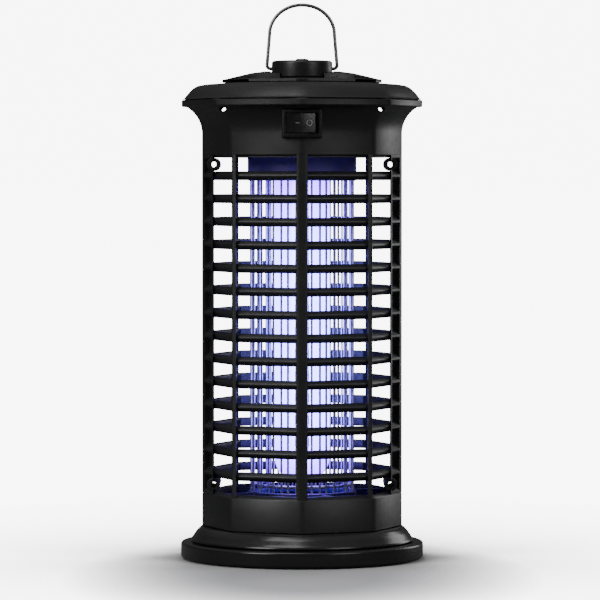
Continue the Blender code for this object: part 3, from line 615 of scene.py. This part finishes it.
def add_cage_posts(form):
    """Five uprights. The openings beside them run straight back, as a two-part mould leaves them."""
    bottom = 0.0360
    top = 0.2199
    depth = SLAT_DEPTH / math.cos(HALF_EIGHTH)
    half = 0.00295
    front = front_face_y(half)
    outline = [(-half, front), (-CORNER_HALF, -BODY_REACH), (CORNER_HALF, -BODY_REACH)]
    outline.extend([(half, front), (half, front + depth), (-half, front + depth)])
    add_prism(form, rounded(outline, 0.0004, 2), bottom, top)
    near = 0.0352
    far = 0.0376
    corner_x, corner_y = octagon(BODY_REACH)[6]
    back = front_face_y(near) + depth
    inner_x = 0.0482
    inner_shift = SLAT_DEPTH / math.sin(HALF_EIGHTH)
    inner_end = BODY_REACH - SLAT_DEPTH / math.cos(HALF_EIGHTH) + CORNER_HALF * math.tan(HALF_EIGHTH)
    corner_post = [(near, front_face_y(near)), (corner_x, corner_y), (far, corner_y + far - corner_x)]
    corner_post = rounded(corner_post + [(far, back), (near, back)], 0.0003, 2)
    side_post = [(inner_x, side_face_y(inner_x)), (BODY_REACH, -CORNER_HALF), (BODY_REACH, -GAP / 2.0)]
    side_post.extend([(inner_end, -GAP / 2.0), (inner_x, side_face_y(inner_x) + inner_shift)])
    for side in (-1.0, 1.0):
        for outline in (corner_post, side_post):
            add_prism(form, [(side * x, y) for x, y in outline], bottom, top)


def add_slats(form):
    """Fourteen rails round the half octagon, each with a blunt front edge between two bevels."""
    back_half = 0.0021
    profile = [(0.0, SLAT_NOSE), (0.0, -SLAT_NOSE), (SLAT_BEVEL, -SLAT_HALF)]
    profile.extend([(SLAT_DEPTH, -back_half), (SLAT_DEPTH, back_half), (SLAT_BEVEL, SLAT_HALF)])
    profile = rounded(profile, 0.0004, 2)
    for row in range(ROW_COUNT - 1):
        middle = TOP_ROW - ROW_PITCH * (row + 0.5)
        rings = []
        for corner in range(5):
            angle = math.pi + EIGHTH * corner
            ring = []
            for depth, rise in profile:
                reach = SLAT_CORNER - depth / math.cos(HALF_EIGHTH)
                y = min(reach * math.sin(angle), -GAP / 2.0)
                ring.append((reach * math.cos(angle), y, middle + rise))
            rings.append(ring)
        add_loft(form, rings)


def add_side_grooves(form):
    """Blind grooves that carry the openings' relief on over the wide side posts."""
    slope = (SLAT_HALF - SLAT_NOSE) / SLAT_BEVEL
    proud = 0.0004
    reach = ROW_PITCH / 2.0 - SLAT_NOSE
    for side in (-1.0, 1.0):
        out = (side * math.cos(HALF_EIGHTH), -math.sin(HALF_EIGHTH))
        for row in range(ROW_COUNT):
            middle = TOP_ROW - ROW_PITCH * row
            high = min(reach, RAIL_BOTTOM - middle)
            low = min(reach, middle - SILL)
            section = [(lift, middle + high + slope * lift) for lift in (-GROOVE_DEPTH, proud)]
            section.extend([(lift, middle - low - slope * lift) for lift in (proud, -GROOVE_DEPTH)])
            rings = []
            for x in (GROOVE_START, GROOVE_END):
                y = side_face_y(x)
                rings.append([(side * x + lift * out[0], y + lift * out[1], z) for lift, z in section])
            add_loft(form, rings)


def add_cage_flange(form):
    """The ledge inside the lower band that the collar's screws bite into."""
    bottom = CAGE_BOTTOM + 0.0002
    thickness = 0.0041
    add_prism(form, half_ring(BODY_REACH - 0.0015, BODY_REACH - 0.0065), bottom, bottom + thickness)


def add_bosses(form):
    """Bosses on the split plane at the cage's corners."""
    tip = -0.0150
    bevel = 0.0004
    for x, z in BOSS_PLACES:
        rings = []
        for radius, y in ((BOSS_RADIUS - bevel, tip), (BOSS_RADIUS, tip + bevel), (BOSS_RADIUS, -GAP / 2.0)):
            rings.append([(u, y, v) for u, v in circle(radius, 24, x, z)])
        add_loft(form, rings)


def add_boss_holes(form):
    for x, z in BOSS_PLACES:
        add_rod(form, "Y", x, z, BOSS_HOLE, -0.0300, 0.0100)


def add_lap_groove(form):
    """The groove in the rail that the head's tongue drops into."""
    add_prism(form, half_ring(LAP_OUT, LAP_IN), RAIL_TOP - LAP_DEPTH, RAIL_TOP + 0.001)


def make_cage(material):
    """The front half, and the same half turned round for the rear."""
    front = add_object("front_cage_shell", shape(add_cage_bands))
    join(front, add_cage_posts)
    join(front, add_slats)
    join(front, add_cage_flange)
    cut(front, add_side_grooves)
    join(front, add_bosses)
    cut(front, add_boss_holes)
    cut(front, add_lap_groove)
    rear = bpy.data.objects.new("rear_cage_shell", front.data.copy())
    bpy.context.scene.collection.objects.link(rear)
    rear.data.transform(Matrix.Rotation(math.pi, 4, "Z"))
    place(front, "housing", "black_plastic", material, "front_cage")
    place(rear, "housing", "black_plastic", material, "rear_cage")


# ---- Head
def flare():
    """The hollow curve under the rim, as (reach, z) pairs."""
    steps = 16
    points = []
    for step in range(steps + 1):
        angle = FLARE_SWEEP * step / steps
        reach = BODY_REACH + FLARE_RADIUS * (1.0 - math.cos(angle))
        points.append((reach, FLARE_START + FLARE_RADIUS * math.sin(angle)))
    return points


def add_switch_box(form, half_width, half_height, front, back):
    add_box(form, (-half_width, front, SWITCH_Z - half_height), (half_width, back, SWITCH_Z + half_height))


def make_head(material):
    """The flared octagon, with a flat boss for the switch and a ledge inside for the deck's screws."""
    wall = BODY_REACH - 0.0026
    ledge = 0.0460
    ledge_low = 0.2231
    ledge_high = 0.2256
    tongue_out = LAP_OUT - GAP
    tongue_end = HEAD_BOTTOM - LAP_DEPTH
    profile = [(tongue_out, HEAD_BOTTOM), (BODY_REACH - 0.0002, HEAD_BOTTOM)]
    profile.extend([(BODY_REACH, HEAD_BOTTOM + 0.0003)] + flare())
    profile.extend([(RIM_REACH - 0.0005, RIM_BOTTOM), (RIM_REACH, RIM_BOTTOM + 0.0005)])
    profile.extend([(RIM_REACH, RIM_TOP - 0.0005), (RIM_REACH - 0.0005, RIM_TOP)])
    profile.extend([(0.0520, RIM_TOP), (0.0520, 0.2470), (0.0602, 0.2470), (0.0584, 0.2440)])
    profile.extend([(0.0545, 0.2400), (0.0523, 0.2350), (wall, FLARE_START - 0.002), (wall, ledge_high)])
    profile.extend([(ledge, ledge_high), (ledge, ledge_low), (wall, ledge_low)])
    profile.extend([(wall, tongue_end), (tongue_out, tongue_end)])
    head = add_object("head_shell", shape(add_octagon_loop, profile, CORNER_HALF), 24.0)
    boss = (0.0107, 0.0078)
    join(head, add_switch_box, *boss, SWITCH_FACE, -0.0490)
    cut(head, add_switch_box, *boss, -0.0700, SWITCH_FACE)
    cuts = shape(add_switch_box, 0.0098, 0.0068, -0.0600, -0.0400)
    add_eyelets(cuts)
    for x, y in face_points(HEAD_SCREW_REACH, SCREW_FACES):
        add_rod(cuts, "Z", x, y, SCREW_HOLE, 0.2220, 0.2266, 16)
    combine(head, cuts, "DIFFERENCE")
    place(head, "housing", "black_plastic", material, "head_housing")


def add_eyelets(form):
    """Oval holes through the corner ridges just under the rim, on all corners but the front and the back."""
    half_width = 0.0019
    corner_reach = 0.0600
    through = 0.020
    ring = circle(1.0, 20)
    rows = [(corner, 0.2437, 0.0011) for corner in (0, 1, 3, 4)]
    rows.extend([(corner, 0.2446, 0.0017) for corner in (5, 7)])
    for corner, middle, half_height in rows:
        angle = math.pi + EIGHTH * corner
        x = corner_reach * math.cos(angle)
        y = corner_reach * math.sin(angle)
        outline = [(half_width * u, middle + half_height * v) for u, v in ring]
        rings = []
        for reach in (-through, through):
            if corner in (0, 4):
                rings.append([(x + reach, y + across, z) for across, z in outline])
            else:
                rings.append([(x + across, y + reach, z) for across, z in outline])
        add_loft(form, rings)


# ---- Roof, hub and bail
def make_roof(material):
    outer = [(RIM_REACH - 0.0003, ROOF_BOTTOM), (0.0640, 0.2500), (0.0629, 0.2515), (0.0613, 0.2534)]
    outer.extend([(0.0589, 0.2557), (0.0563, 0.2571), (0.0511, 0.2579), (0.0438, 0.2583)])
    inner = [(0.0200, 0.2592), (0.0200, 0.2570), (0.0438, 0.2561), (0.0505, 0.2556), (0.0555, 0.2545)]
    inner.extend([(0.0575, 0.2525), (0.0590, ROOF_BOTTOM)])
    profile = rounded(outer, 0.0010, 3, False) + inner
    roof = add_object("roof_cover_shell", shape(add_octagon_loop, profile, CORNER_HALF + 0.0022), 24.0)
    soften(roof, 0.0004, 2, 20.0)
    place(roof, "housing", "black_plastic", material, "roof_cover")


def add_hoods(form):
    """A ridged hood each side of the hub. A station is x, ridge height, eave height and half width."""
    foot = 0.2598
    stations = [(0.0120, 0.2650, 0.2636, 0.0130), (0.0202, 0.2650, 0.2634, 0.0150)]
    stations.extend([(0.0279, 0.2640, 0.2622, 0.0200), (0.0363, 0.2620, 0.2612, 0.0200)])
    stations.append((0.0432, 0.2603, 0.2601, 0.0110))
    for side in (-1.0, 1.0):
        rings = []
        for x, ridge, eave, half in stations:
            section = [(-half, foot), (-half, eave), (0.0, ridge), (half, eave), (half, foot)]
            rings.append([(side * x, y, z) for y, z in section])
        add_loft(form, rings)


def add_webs(form):
    """A wall along the middle under each hood, so that no light shows straight through."""
    half = 0.0085
    top = 0.2602
    for side in (-1.0, 1.0):
        rings = []
        for x, bottom in ((0.0270, 0.2593), (0.0408, 0.2588)):
            section = [(-half, bottom), (-half, top), (half, top), (half, bottom)]
            rings.append([(side * x, y, z) for y, z in section])
        add_loft(form, rings)


def add_mouths(form):
    """The openings under the hoods, in front of the webs and behind them."""
    for side in (-1.0, 1.0):
        for end in (-1.0, 1.0):
            left, right = sorted((side * 0.0285, side * 0.0410))
            front, back = sorted((end * 0.0110, end * 0.0340))
            add_box(form, (left, front, 0.2580), (right, back, 0.2600))


def make_vent_cap(material):
    profile = [(0.0433, 0.2588), (0.0433, 0.2600), (0.0415, 0.2604)]
    profile.extend([(0.0172, 0.2609), (0.0172, 0.2597), (0.0400, 0.2594)])
    cap = add_object("vent_cap_shell", shape(add_octagon_loop, profile, 0.0030))
    join(cap, add_hoods)
    join(cap, add_webs)
    cut(cap, add_rod, "Z", 0.0, 0.0, HUB_RADIUS + 0.0007, 0.2580, 0.2700, 64)
    cut(cap, add_mouths)
    soften(cap, 0.0002, 2, 20.0)
    place(cap, "housing", "black_plastic", material, "vent_cap")


def make_hub(material, rubber):
    """The hollow hub with the bail's two sockets, and the soft gland that the cord comes out of."""
    profile = [(0.0155, HUB_BOTTOM), (HUB_RADIUS, HUB_BOTTOM + 0.0006), (HUB_RADIUS, 0.2696)]
    profile.extend([(0.0160, 0.2704), (0.0150, HUB_TOP), (0.0047, HUB_TOP), (0.0047, 0.2640)])
    profile.extend([(0.0125, 0.2640), (0.0125, HUB_BOTTOM)])
    hub = add_object("top_hub_shell", shape(add_turned, rounded(profile, 0.0005), 96), 40.0)
    sockets = bmesh.new()
    for ends in ((0.0100, 0.0180), (-0.0180, -0.0100)):
        add_rod(sockets, "X", 0.0, BAIL_PIVOT, WIRE + 0.0005, *ends)
    combine(hub, sockets, "DIFFERENCE")
    place(hub, "housing", "black_plastic", material, "top_hub")
    profile = [(0.0044, 0.2655), (0.0044, 0.2702), (0.0034, 0.2710), (0.0032, 0.2716)]
    profile.extend([(0.0028, 0.2718), (0.0022, 0.2714), (0.0022, 0.2655)])
    gland = add_object("cord_gland_ring", shape(add_turned, rounded(profile, 0.0003), 48), 50.0)
    place(gland, "housing", "rubber", rubber, "cord_gland")


def bail_path():
    """From one pin, up the leg, over the arch and down to the other pin."""
    bend = 0.0020
    half = [(0.0134, 0.0, 0.0), (BAIL_LEG_X - bend - 0.0006, 0.0, 0.0)]
    for step in range(1, 7):
        angle = math.pi / 2.0 * step / 6
        half.append((BAIL_LEG_X - bend + bend * math.sin(angle), 0.0, bend - bend * math.cos(angle)))
    rise = BAIL_SHOULDER - BAIL_PIVOT
    for step in range(1, 7):
        part = step / 6
        half.append((BAIL_LEG_X + (BAIL_SHOULDER_X - BAIL_LEG_X) * part, 0.0, bend + (rise - bend) * part))
    arch = BAIL_TOP - WIRE - BAIL_SHOULDER
    steps = 20
    for step in range(1, steps):
        angle = math.pi / 2.0 * step / steps
        half.append((BAIL_SHOULDER_X * math.cos(angle), 0.0, rise + arch * math.sin(angle)))
    return half + [(0.0, 0.0, rise + arch)] + [(-x, y, z) for x, y, z in reversed(half)]


def make_bail(material):
    path = [(x, y, z + BAIL_PIVOT) for x, y, z in bail_path()]
    bail = add_object("bail_wire", shape(add_tube, path, WIRE - 0.00001, 16), 60.0)
    place(bail, "bail", "steel_wire", material, "bail")


# ---- Switch
def make_switch(material):
    """The switch's frame: a rounded flange, and a sleeve behind it with a well for the rocker."""
    half_width = 0.0104
    half_height = 0.0075
    back = SWITCH_FACE - GAP
    front = back - 0.0018
    outline = [(-half_width, -half_height), (half_width, -half_height)]
    outline = rounded(outline + [(half_width, half_height), (-half_width, half_height)], 0.0008, 4)
    rings = []
    for inset, y in ((0.0, back), (0.0, front + 0.0005), (0.00015, front + 0.00015), (0.0005, front)):
        wide = 1.0 - inset / half_width
        tall = 1.0 - inset / half_height
        rings.append([(x * wide, y, SWITCH_Z + z * tall) for x, z in outline])
    housing = add_object("switch_frame", shape(add_loft, rings))
    join(housing, add_switch_box, 0.0094, 0.0064, back - 0.001, -0.0420)
    cut(housing, add_switch_box, 0.0087, 0.0055, -0.0600, -0.0480)
    cut(housing, add_rod, "Z", 0.0, ROCKER_PIVOT, 0.0014, SWITCH_Z - 0.0070, SWITCH_Z + 0.0070)
    place(housing, "housing", "switch_black", material, "switch_housing")


def rocker_face(x):
    """How far the rocker's dished front stands from its pin, at this distance along it."""
    reach = min(abs(x) / ROCKER_HALF, 1.0)
    return -0.0025 - 0.0011 * reach ** 1.8


def place_on_rocker(thing, slot, material, *nodes):
    """Turns a piece, made round the rocker's pin, to the rocker's tilt at rest and puts it in place."""
    thing.data.transform(Matrix.Rotation(ROCKER_TILT, 4, "Z"))
    thing.data.transform(Matrix.Translation((0.0, ROCKER_PIVOT, SWITCH_Z)))
    place(thing, "rocker", slot, material, *nodes)


def make_rocker(material):
    steps = 16
    outline = []
    for step in range(steps + 1):
        x = -ROCKER_HALF + 2.0 * ROCKER_HALF * step / steps
        outline.append((x, rocker_face(x)))
    outline.extend([(0.0070, 0.0012), (0.0030, 0.0038), (-0.0030, 0.0038), (-0.0070, 0.0012)])
    edge = [(0.0, 0.0047), (0.0001, 0.0050), (0.0004, 0.0051)]
    rings = []
    for inset, z in [(inset, -z) for inset, z in reversed(edge)] + edge:
        shrink = 1.0 - inset / ROCKER_HALF
        rings.append([(x * shrink, y * shrink, z) for x, y in outline])
    rocker = add_object("rocker_button", shape(add_loft, rings))
    join(rocker, add_rod, "Z", 0.0, 0.0, 0.0010, -0.0060, 0.0060)
    place_on_rocker(rocker, "switch_black", material, "switch_rocker")


def make_marks(material):
    """The dash and the ring, raised a hair above the rocker's face."""
    thick = 0.00022
    sunk = 0.5 * thick
    path = []
    for step in range(7):
        x = -0.0030 + 0.0022 * step / 6
        path.append((x, rocker_face(x) + sunk, 0.0))
    dash = add_object("rocker_dash_mark", shape(add_tube, path, thick, 10))
    place_on_rocker(dash, "white_insulator", material)
    ring_x = 0.0045
    ring_radius = 0.0015
    section = circle(thick, 10)
    rings = []
    for u, v in circle(1.0, 32):
        ring = []
        for out, rise in section:
            radius = ring_radius + out
            x = ring_x + radius * u
            ring.append((x, rocker_face(x) + sunk + rise, radius * v))
        rings.append(ring)
    ring_mark = add_object("rocker_ring_mark", shape(add_loft, rings, True))
    place_on_rocker(ring_mark, "white_insulator", material)


# ---- Lamp and grid
def make_lamp(glass, white, brass):
    """A U-shaped tube, its white cap and its two brass pins."""
    leg_x = 0.0094
    radius = 0.0056
    leg_top = 0.2065
    bend_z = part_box("lamp_tube")[0].z + radius + leg_x
    steps = 24
    path = [(-leg_x, 0.0, leg_top)]
    for step in range(steps + 1):
        angle = math.pi * step / steps
        path.append((-leg_x * math.cos(angle), 0.0, bend_z - leg_x * math.sin(angle)))
    path.append((leg_x, 0.0, leg_top))
    tube = add_object("lamp_glass_tube", shape(add_tube, path, radius, 28), 50.0)
    place(tube, "lamp", "lamp_glass", glass, "lamp_tube")
    low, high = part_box("lamp_cap")
    outline = rounded([(low.x, low.y), (high.x, low.y), (high.x, high.y), (low.x, high.y)], 0.0040, 6)
    rings = []
    for inset, z in ((0.0006, low.z), (0.0001, low.z + 0.0004), (0.0, low.z + 0.0010), (0.0, high.z)):
        shrink = 1.0 - inset / high.y
        rings.append([(x * shrink, y * shrink, z) for x, y in outline])
    cap = add_object("lamp_base_cap", shape(add_loft, rings))
    place(cap, "lamp", "white_insulator", white, "lamp_cap")
    for pin_x, node in ((-0.0115, "lamp_pin_1"), (0.0115, "lamp_pin_2")):
        low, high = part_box(node)
        rings = []
        for radius, drop in ((0.0012, high.z - low.z), (0.0012, 0.0006), (0.0008, 0.0002), (0.0003, 0.0)):
            rings.append(at_height(circle(radius, 16, pin_x), high.z - drop))
        place(add_object(node + "_turned", shape(add_loft, rings), 50.0), "lamp", "brass", brass, node)


def add_ring(form, inside, outside, bottom, top, corner, steps):
    profile = [(inside, bottom), (outside, bottom), (outside, top), (inside, top)]
    add_turned(form, rounded(profile, corner, steps), 84)


def make_grid_set(name, node, first, wire_reach, inside, outside, ring_bottom, material):
    """Every second wire, joined by one flat ring that passes clear of the other set."""
    low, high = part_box(node)
    form = bmesh.new()
    for index in range(first, GRID_WIRE_COUNT, 2):
        angle = 2.0 * math.pi * (index + 0.25) / GRID_WIRE_COUNT
        x = wire_reach * math.cos(angle)
        y = wire_reach * math.sin(angle)
        add_rod(form, "Z", x, y, GRID_WIRE, low.z, high.z, 12)
    wires = add_object(name, form, 50.0)
    join(wires, add_ring, inside, outside, ring_bottom, ring_bottom + 0.0016, 0.0003, 2)
    place(wires, "housing", "steel_wire", material, node)


def make_ring_moulding(name, node, material):
    inside = 0.0238
    outside = 0.0296
    low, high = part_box(node)
    ring = add_object(name, shape(add_ring, inside, outside, low.z, high.z, 0.0005, 3))
    place(ring, "housing", "dark_insulator", material, node)
    return ring


def add_arms(form):
    """Four arms that hold the lower ring in the cage."""
    start = 0.0258
    end = 0.0470
    half = 0.0020
    low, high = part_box("lower_grid_ring")
    for turn in range(4):
        angle = HALF_EIGHTH + 2.0 * EIGHTH * turn
        out = (math.cos(angle), math.sin(angle))
        outline = []
        for along, slide in ((start, -half), (end, -half), (end, half), (start, half)):
            outline.append((along * out[0] - slide * out[1], along * out[1] + slide * out[0]))
        add_prism(form, outline, low.z + 0.0003, high.z - 0.0003)


def make_grid(steel, upper_plastic, lower_plastic):
    low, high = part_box("live_grid")
    outer_wires = GRID_RADIUS + GRID_WIRE
    inner_wires = GRID_RADIUS - GRID_WIRE
    make_grid_set("live_grid_wires", "live_grid", 0, outer_wires, 0.0280, 0.0292, high.z - 0.0040, steel)
    make_grid_set("return_grid_wires", "return_grid", 1, inner_wires, 0.0249, 0.0264, low.z + 0.0024, steel)
    make_ring_moulding("upper_ring_moulding", "upper_grid_ring", upper_plastic)
    lower = make_ring_moulding("lower_ring_moulding", "lower_grid_ring", lower_plastic)
    join(lower, add_arms)
    soften(lower, 0.0002)


# ---- Base
def make_collar(material):
    low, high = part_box("base_collar")
    profile = [(high.x, low.z), (0.0604, 0.0109), (0.0594, 0.0122), (0.0578, 0.0147), (0.0560, 0.0166)]
    profile.extend([(0.0546, high.z), (COLLAR_BORE, high.z), (COLLAR_BORE, low.z)])
    collar = add_object("collar_ring", shape(add_turned, rounded(profile, 0.0006), 128), 40.0)
    well = (COLLAR_SCREW_REACH + 0.0014, 0.0044, COLLAR_SEAT + GAP)
    hole = (COLLAR_SCREW_REACH, SCREW_HOLE, high.z + 0.001)
    for reach, radius, end in (well, hole):
        rods = bmesh.new()
        for x, y in face_points(reach, SCREW_FACES):
            add_rod(rods, "Z", x, y, radius, low.z - 0.001, end)
        combine(collar, rods, "DIFFERENCE")
    place(collar, "housing", "black_plastic", material, "base_collar")


def make_tray(material, rubber):
    """The foot with the catch cup on it, and four soft pads under it."""
    bottom = 0.0006
    top = 0.0093
    cup_top = 0.0310
    profile = [(0.0520, bottom), (FOOT_RADIUS - 0.0010, bottom), (FOOT_RADIUS, 0.0016), (FOOT_RADIUS, 0.0083)]
    profile.extend([(FOOT_RADIUS - 0.0005, 0.0090), (FOOT_RADIUS - 0.0015, top), (0.0430, top)])
    profile.extend([(0.0430, cup_top), (0.0414, cup_top), (0.0414, 0.0140), (0.0400, 0.0124)])
    profile.extend([(0.0010, 0.0124), (0.0010, 0.0106), (0.0395, 0.0106), (0.0410, 0.0075), (0.0520, 0.0050)])
    tray = add_object("tray_turning", shape(add_turned, rounded(profile, 0.0005), 128), 40.0)
    join(tray, add_rod, "Z", 0.0, 0.0, 0.0040, 0.0108, 0.0122)
    pockets = bmesh.new()
    for foot in range(1, 5):
        low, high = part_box("rubber_foot_%d" % foot)
        middle = (low + high) / 2.0
        add_rod(pockets, "Z", middle.x, middle.y, 0.0046, -0.0010, 0.0023)
        rings = []
        for radius, z in ((0.0036, low.z), (0.0041, 0.0003), (0.0042, 0.0008), (0.0042, high.z)):
            rings.append(at_height(circle(radius, 40, middle.x, middle.y), z))
        pad = add_object("foot_pad_%d" % foot, shape(add_loft, rings), 50.0)
        place(pad, "tray", "rubber", rubber, "rubber_foot_%d" % foot)
    combine(tray, pockets, "DIFFERENCE")
    place(tray, "tray", "black_plastic", material, "catch_tray")


# ---- Screws
def make_screw(node, up, material):
    """A cross-recessed pan head on a threaded shank. Up is 1 where the head is the node's upper end."""
    low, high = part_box(node)
    middle = (low + high) / 2.0
    head = 0.0017
    thread = 0.0007
    tip, crown = (low.z, high.z) if up > 0.0 else (high.z, low.z)
    seat = crown - up * head
    stations = [(0.0004, tip), (0.0007, tip + up * 0.0005)]
    for turn in range(int(abs(seat - tip) / thread) - 1):
        at = tip + up * (0.0005 + thread * turn)
        for radius, rise in ((0.0008, 0.0001), (SCREW_SHANK, 0.00035), (0.0008, 0.0006)):
            stations.append((radius, at + up * rise))
    stations.append((SCREW_SHANK, seat - up * 0.0001))
    for radius, rise in ((SCREW_SHANK, 0.0), (SCREW_HEAD, 0.0), (SCREW_HEAD, 0.0007), (0.0024, 0.0011)):
        stations.append((radius, seat + up * rise))
    stations.extend([(0.0019, seat + up * 0.0015), (0.0012, crown)])
    rings = [at_height(circle(radius, 20, middle.x, middle.y), z) for radius, z in stations]
    screw = add_object(node + "_turned", shape(add_loft, rings))
    floor, top = sorted((seat + up * 0.0008, crown + up * 0.0010))
    for across, along in ((0.0011, 0.0003), (0.0003, 0.0011)):
        arm = Vector((across, along, 0.0))
        start = middle - arm
        end = middle + arm
        cut(screw, add_box, (start.x, start.y, floor), (end.x, end.y, top))
    place(screw, "housing", "steel_wire", material, node)


def make_screws(material):
    for name, up in (("head_screw", 1.0), ("roof_screw", -1.0), ("collar_screw", -1.0), ("board_screw", 1.0)):
        for number in range(1, 5):
            make_screw("%s_%d" % (name, number), up, material)


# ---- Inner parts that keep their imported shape
def dress_inner_parts(paint):
    # The insulator look carries that painted violet lamp light.
    looks = {"lamp_deck": "insulator", "lamp_socket": "white", "driver_board": "board"}
    looks["step_up_transformer"] = "insulator"
    pairs = {"storage_capacitor": "sleeve", "film_capacitor": "dip", "rectifier_diode": "insulator"}
    pairs.update(socket_contact="brass", switch_terminal="brass", switch_lead="red", grid_lead="white")
    for name, look in pairs.items():
        looks[name + "_1"] = look
        looks[name + "_2"] = look
    for name, look in looks.items():
        slots = NODES[name].data.materials
        slots.clear()
        slots.append(paint[look])


# ---- Floor, light and camera
def make_floor():
    """A pale floor, white in the open, with painted shade near what stands on it and a soft painted shadow in
    front.
    """
    form = bmesh.new()
    for side, end in ((-1.0, -1.0), (1.0, -1.0), (1.0, 1.0), (-1.0, 1.0)):
        form.verts.new((side * FLOOR_HALF, end * FLOOR_HALF, 0.0))
    form.faces.new(form.verts)
    floor = add_object("pale_floor", form)
    tools = Nodes("pale_floor_paint")
    grain = tools.noise(12.0, 2.0)
    tools.gloss(tools.spread(grain, 0.85, 0.95))
    # Painted shade and shadow: the glow dims near the pieces by ambient occlusion, and in the oval pool in
    # front.
    near = tools.add("ShaderNodeAmbientOcclusion", samples=8)
    near.inputs["Distance"].default_value = 0.40
    sky = tools.spread(near.outputs["AO"], 0.0, 1.0, 0.42, 0.95)
    pool = tools.stretched((1.0 / POOL_WIDTH, 1.0 / POOL_LENGTH, 1.0), (0.0, POOL_AHEAD / POOL_LENGTH, 0.0))
    reach = tools.add("ShaderNodeVectorMath", operation="LENGTH")
    tools.link(pool, reach.inputs[0])
    soft = tools.spread(reach.outputs["Value"], POOL_DEPTH, 1.0, 0.35, 1.15)
    open_sky = tools.sums("POWER", tools.sums("MULTIPLY", sky, soft), 5.0)
    seen = tools.add("ShaderNodeLightPath").outputs["Is Camera Ray"]
    pale = tools.blend(grain, (0.40, 0.40, 0.405), (0.42, 0.42, 0.425))
    tools.colour(tools.blend(seen, (0.15, 0.15, 0.15), pale))
    strength = tools.sums("MULTIPLY", tools.sums("MULTIPLY", open_sky, seen), WHITE, False)
    tools.shader.inputs["Emission Color"].default_value = (1.0, 1.0, 1.0, 1.0)
    tools.link(strength, tools.shader.inputs["Emission Strength"])
    floor.data.materials.append(tools.owner)


def add_area_light(name, place_at, aim, size, power):
    lamp = bpy.data.lights.new(name, "AREA")
    lamp.shape = "RECTANGLE"
    lamp.size = size[0]
    lamp.size_y = size[1]
    lamp.energy = power
    light = bpy.data.objects.new(name, lamp)
    bpy.context.scene.collection.objects.link(light)
    light.location = place_at
    light.rotation_euler = (Vector(aim) - Vector(place_at)).to_track_quat("-Z", "Y").to_euler()


def make_world():
    """White to the camera. For lighting it is dim round the horizon and brighter overhead."""
    nodes = Nodes("studio_world", True)
    rise = nodes.spread(nodes.height(nodes.place), WORLD_LIGHT, WORLD_TOP_LIGHT, 0.35, 1.0)
    nodes.link(rise, nodes.shader.inputs["Strength"])
    seen = nodes.add("ShaderNodeBackground")
    seen.inputs["Strength"].default_value = WHITE
    for background in (nodes.shader, seen):
        background.inputs["Color"].default_value = (1.0, 1.0, 1.0, 1.0)
    mix = nodes.add("ShaderNodeMixShader")
    nodes.link(nodes.add("ShaderNodeLightPath").outputs["Is Camera Ray"], mix.inputs["Fac"])
    nodes.link(nodes.shader.outputs["Background"], mix.inputs[1])
    nodes.link(seen.outputs["Background"], mix.inputs[2])
    nodes.link(mix.outputs["Shader"], nodes.tree.nodes["World Output"].inputs["Surface"])
    bpy.context.scene.world = nodes.owner


def make_stage():
    make_floor()
    make_world()
    middle = (0.0, 0.0, 0.14)
    add_area_light("key_light", (-1.1, -1.1, 0.9), middle, (0.7, 1.0), 13.0)
    add_area_light("fill_light", (1.1, -1.2, 0.8), middle, (0.7, 1.0), 6.0)
    add_area_light("rim_light", (1.2, 1.1, 0.5), middle, (0.7, 1.0), 5.0)
    add_area_light("top_light", (-0.35, -0.55, 1.7), middle, (0.9, 0.6), 6.0)
    camera_data = bpy.data.cameras.new("photo_camera")
    camera_data.lens = 226.0
    camera_data.sensor_width = 36.0
    camera = bpy.data.objects.new("photo_camera", camera_data)
    bpy.context.scene.collection.objects.link(camera)
    camera.location = (-0.0011, -2.05, 0.207)
    aim = Vector((-0.0011, 0.0, 0.1406))
    camera.rotation_euler = (aim - camera.location).to_track_quat("-Z", "Y").to_euler()
    bpy.context.scene.camera = camera


# ---- Everything together
def main():
    paint = make_materials()
    make_cage(paint["shell"])
    make_head(paint["shell"])
    make_roof(paint["roof"])
    make_vent_cap(paint["roof"])
    make_hub(paint["roof"], paint["rubber"])
    make_bail(paint["wire"])
    make_switch(paint["switch"])
    make_rocker(paint["switch"])
    make_marks(paint["mark"])
    make_lamp(paint["lamp"], paint["white"], paint["brass"])
    make_grid(paint["grid"], paint["insulator"], paint["low_insulator"])
    make_collar(paint["base"])
    make_tray(paint["base"], paint["rubber"])
    make_screws(paint["screw"])
    dress_inner_parts(paint)
    make_stage()


main()
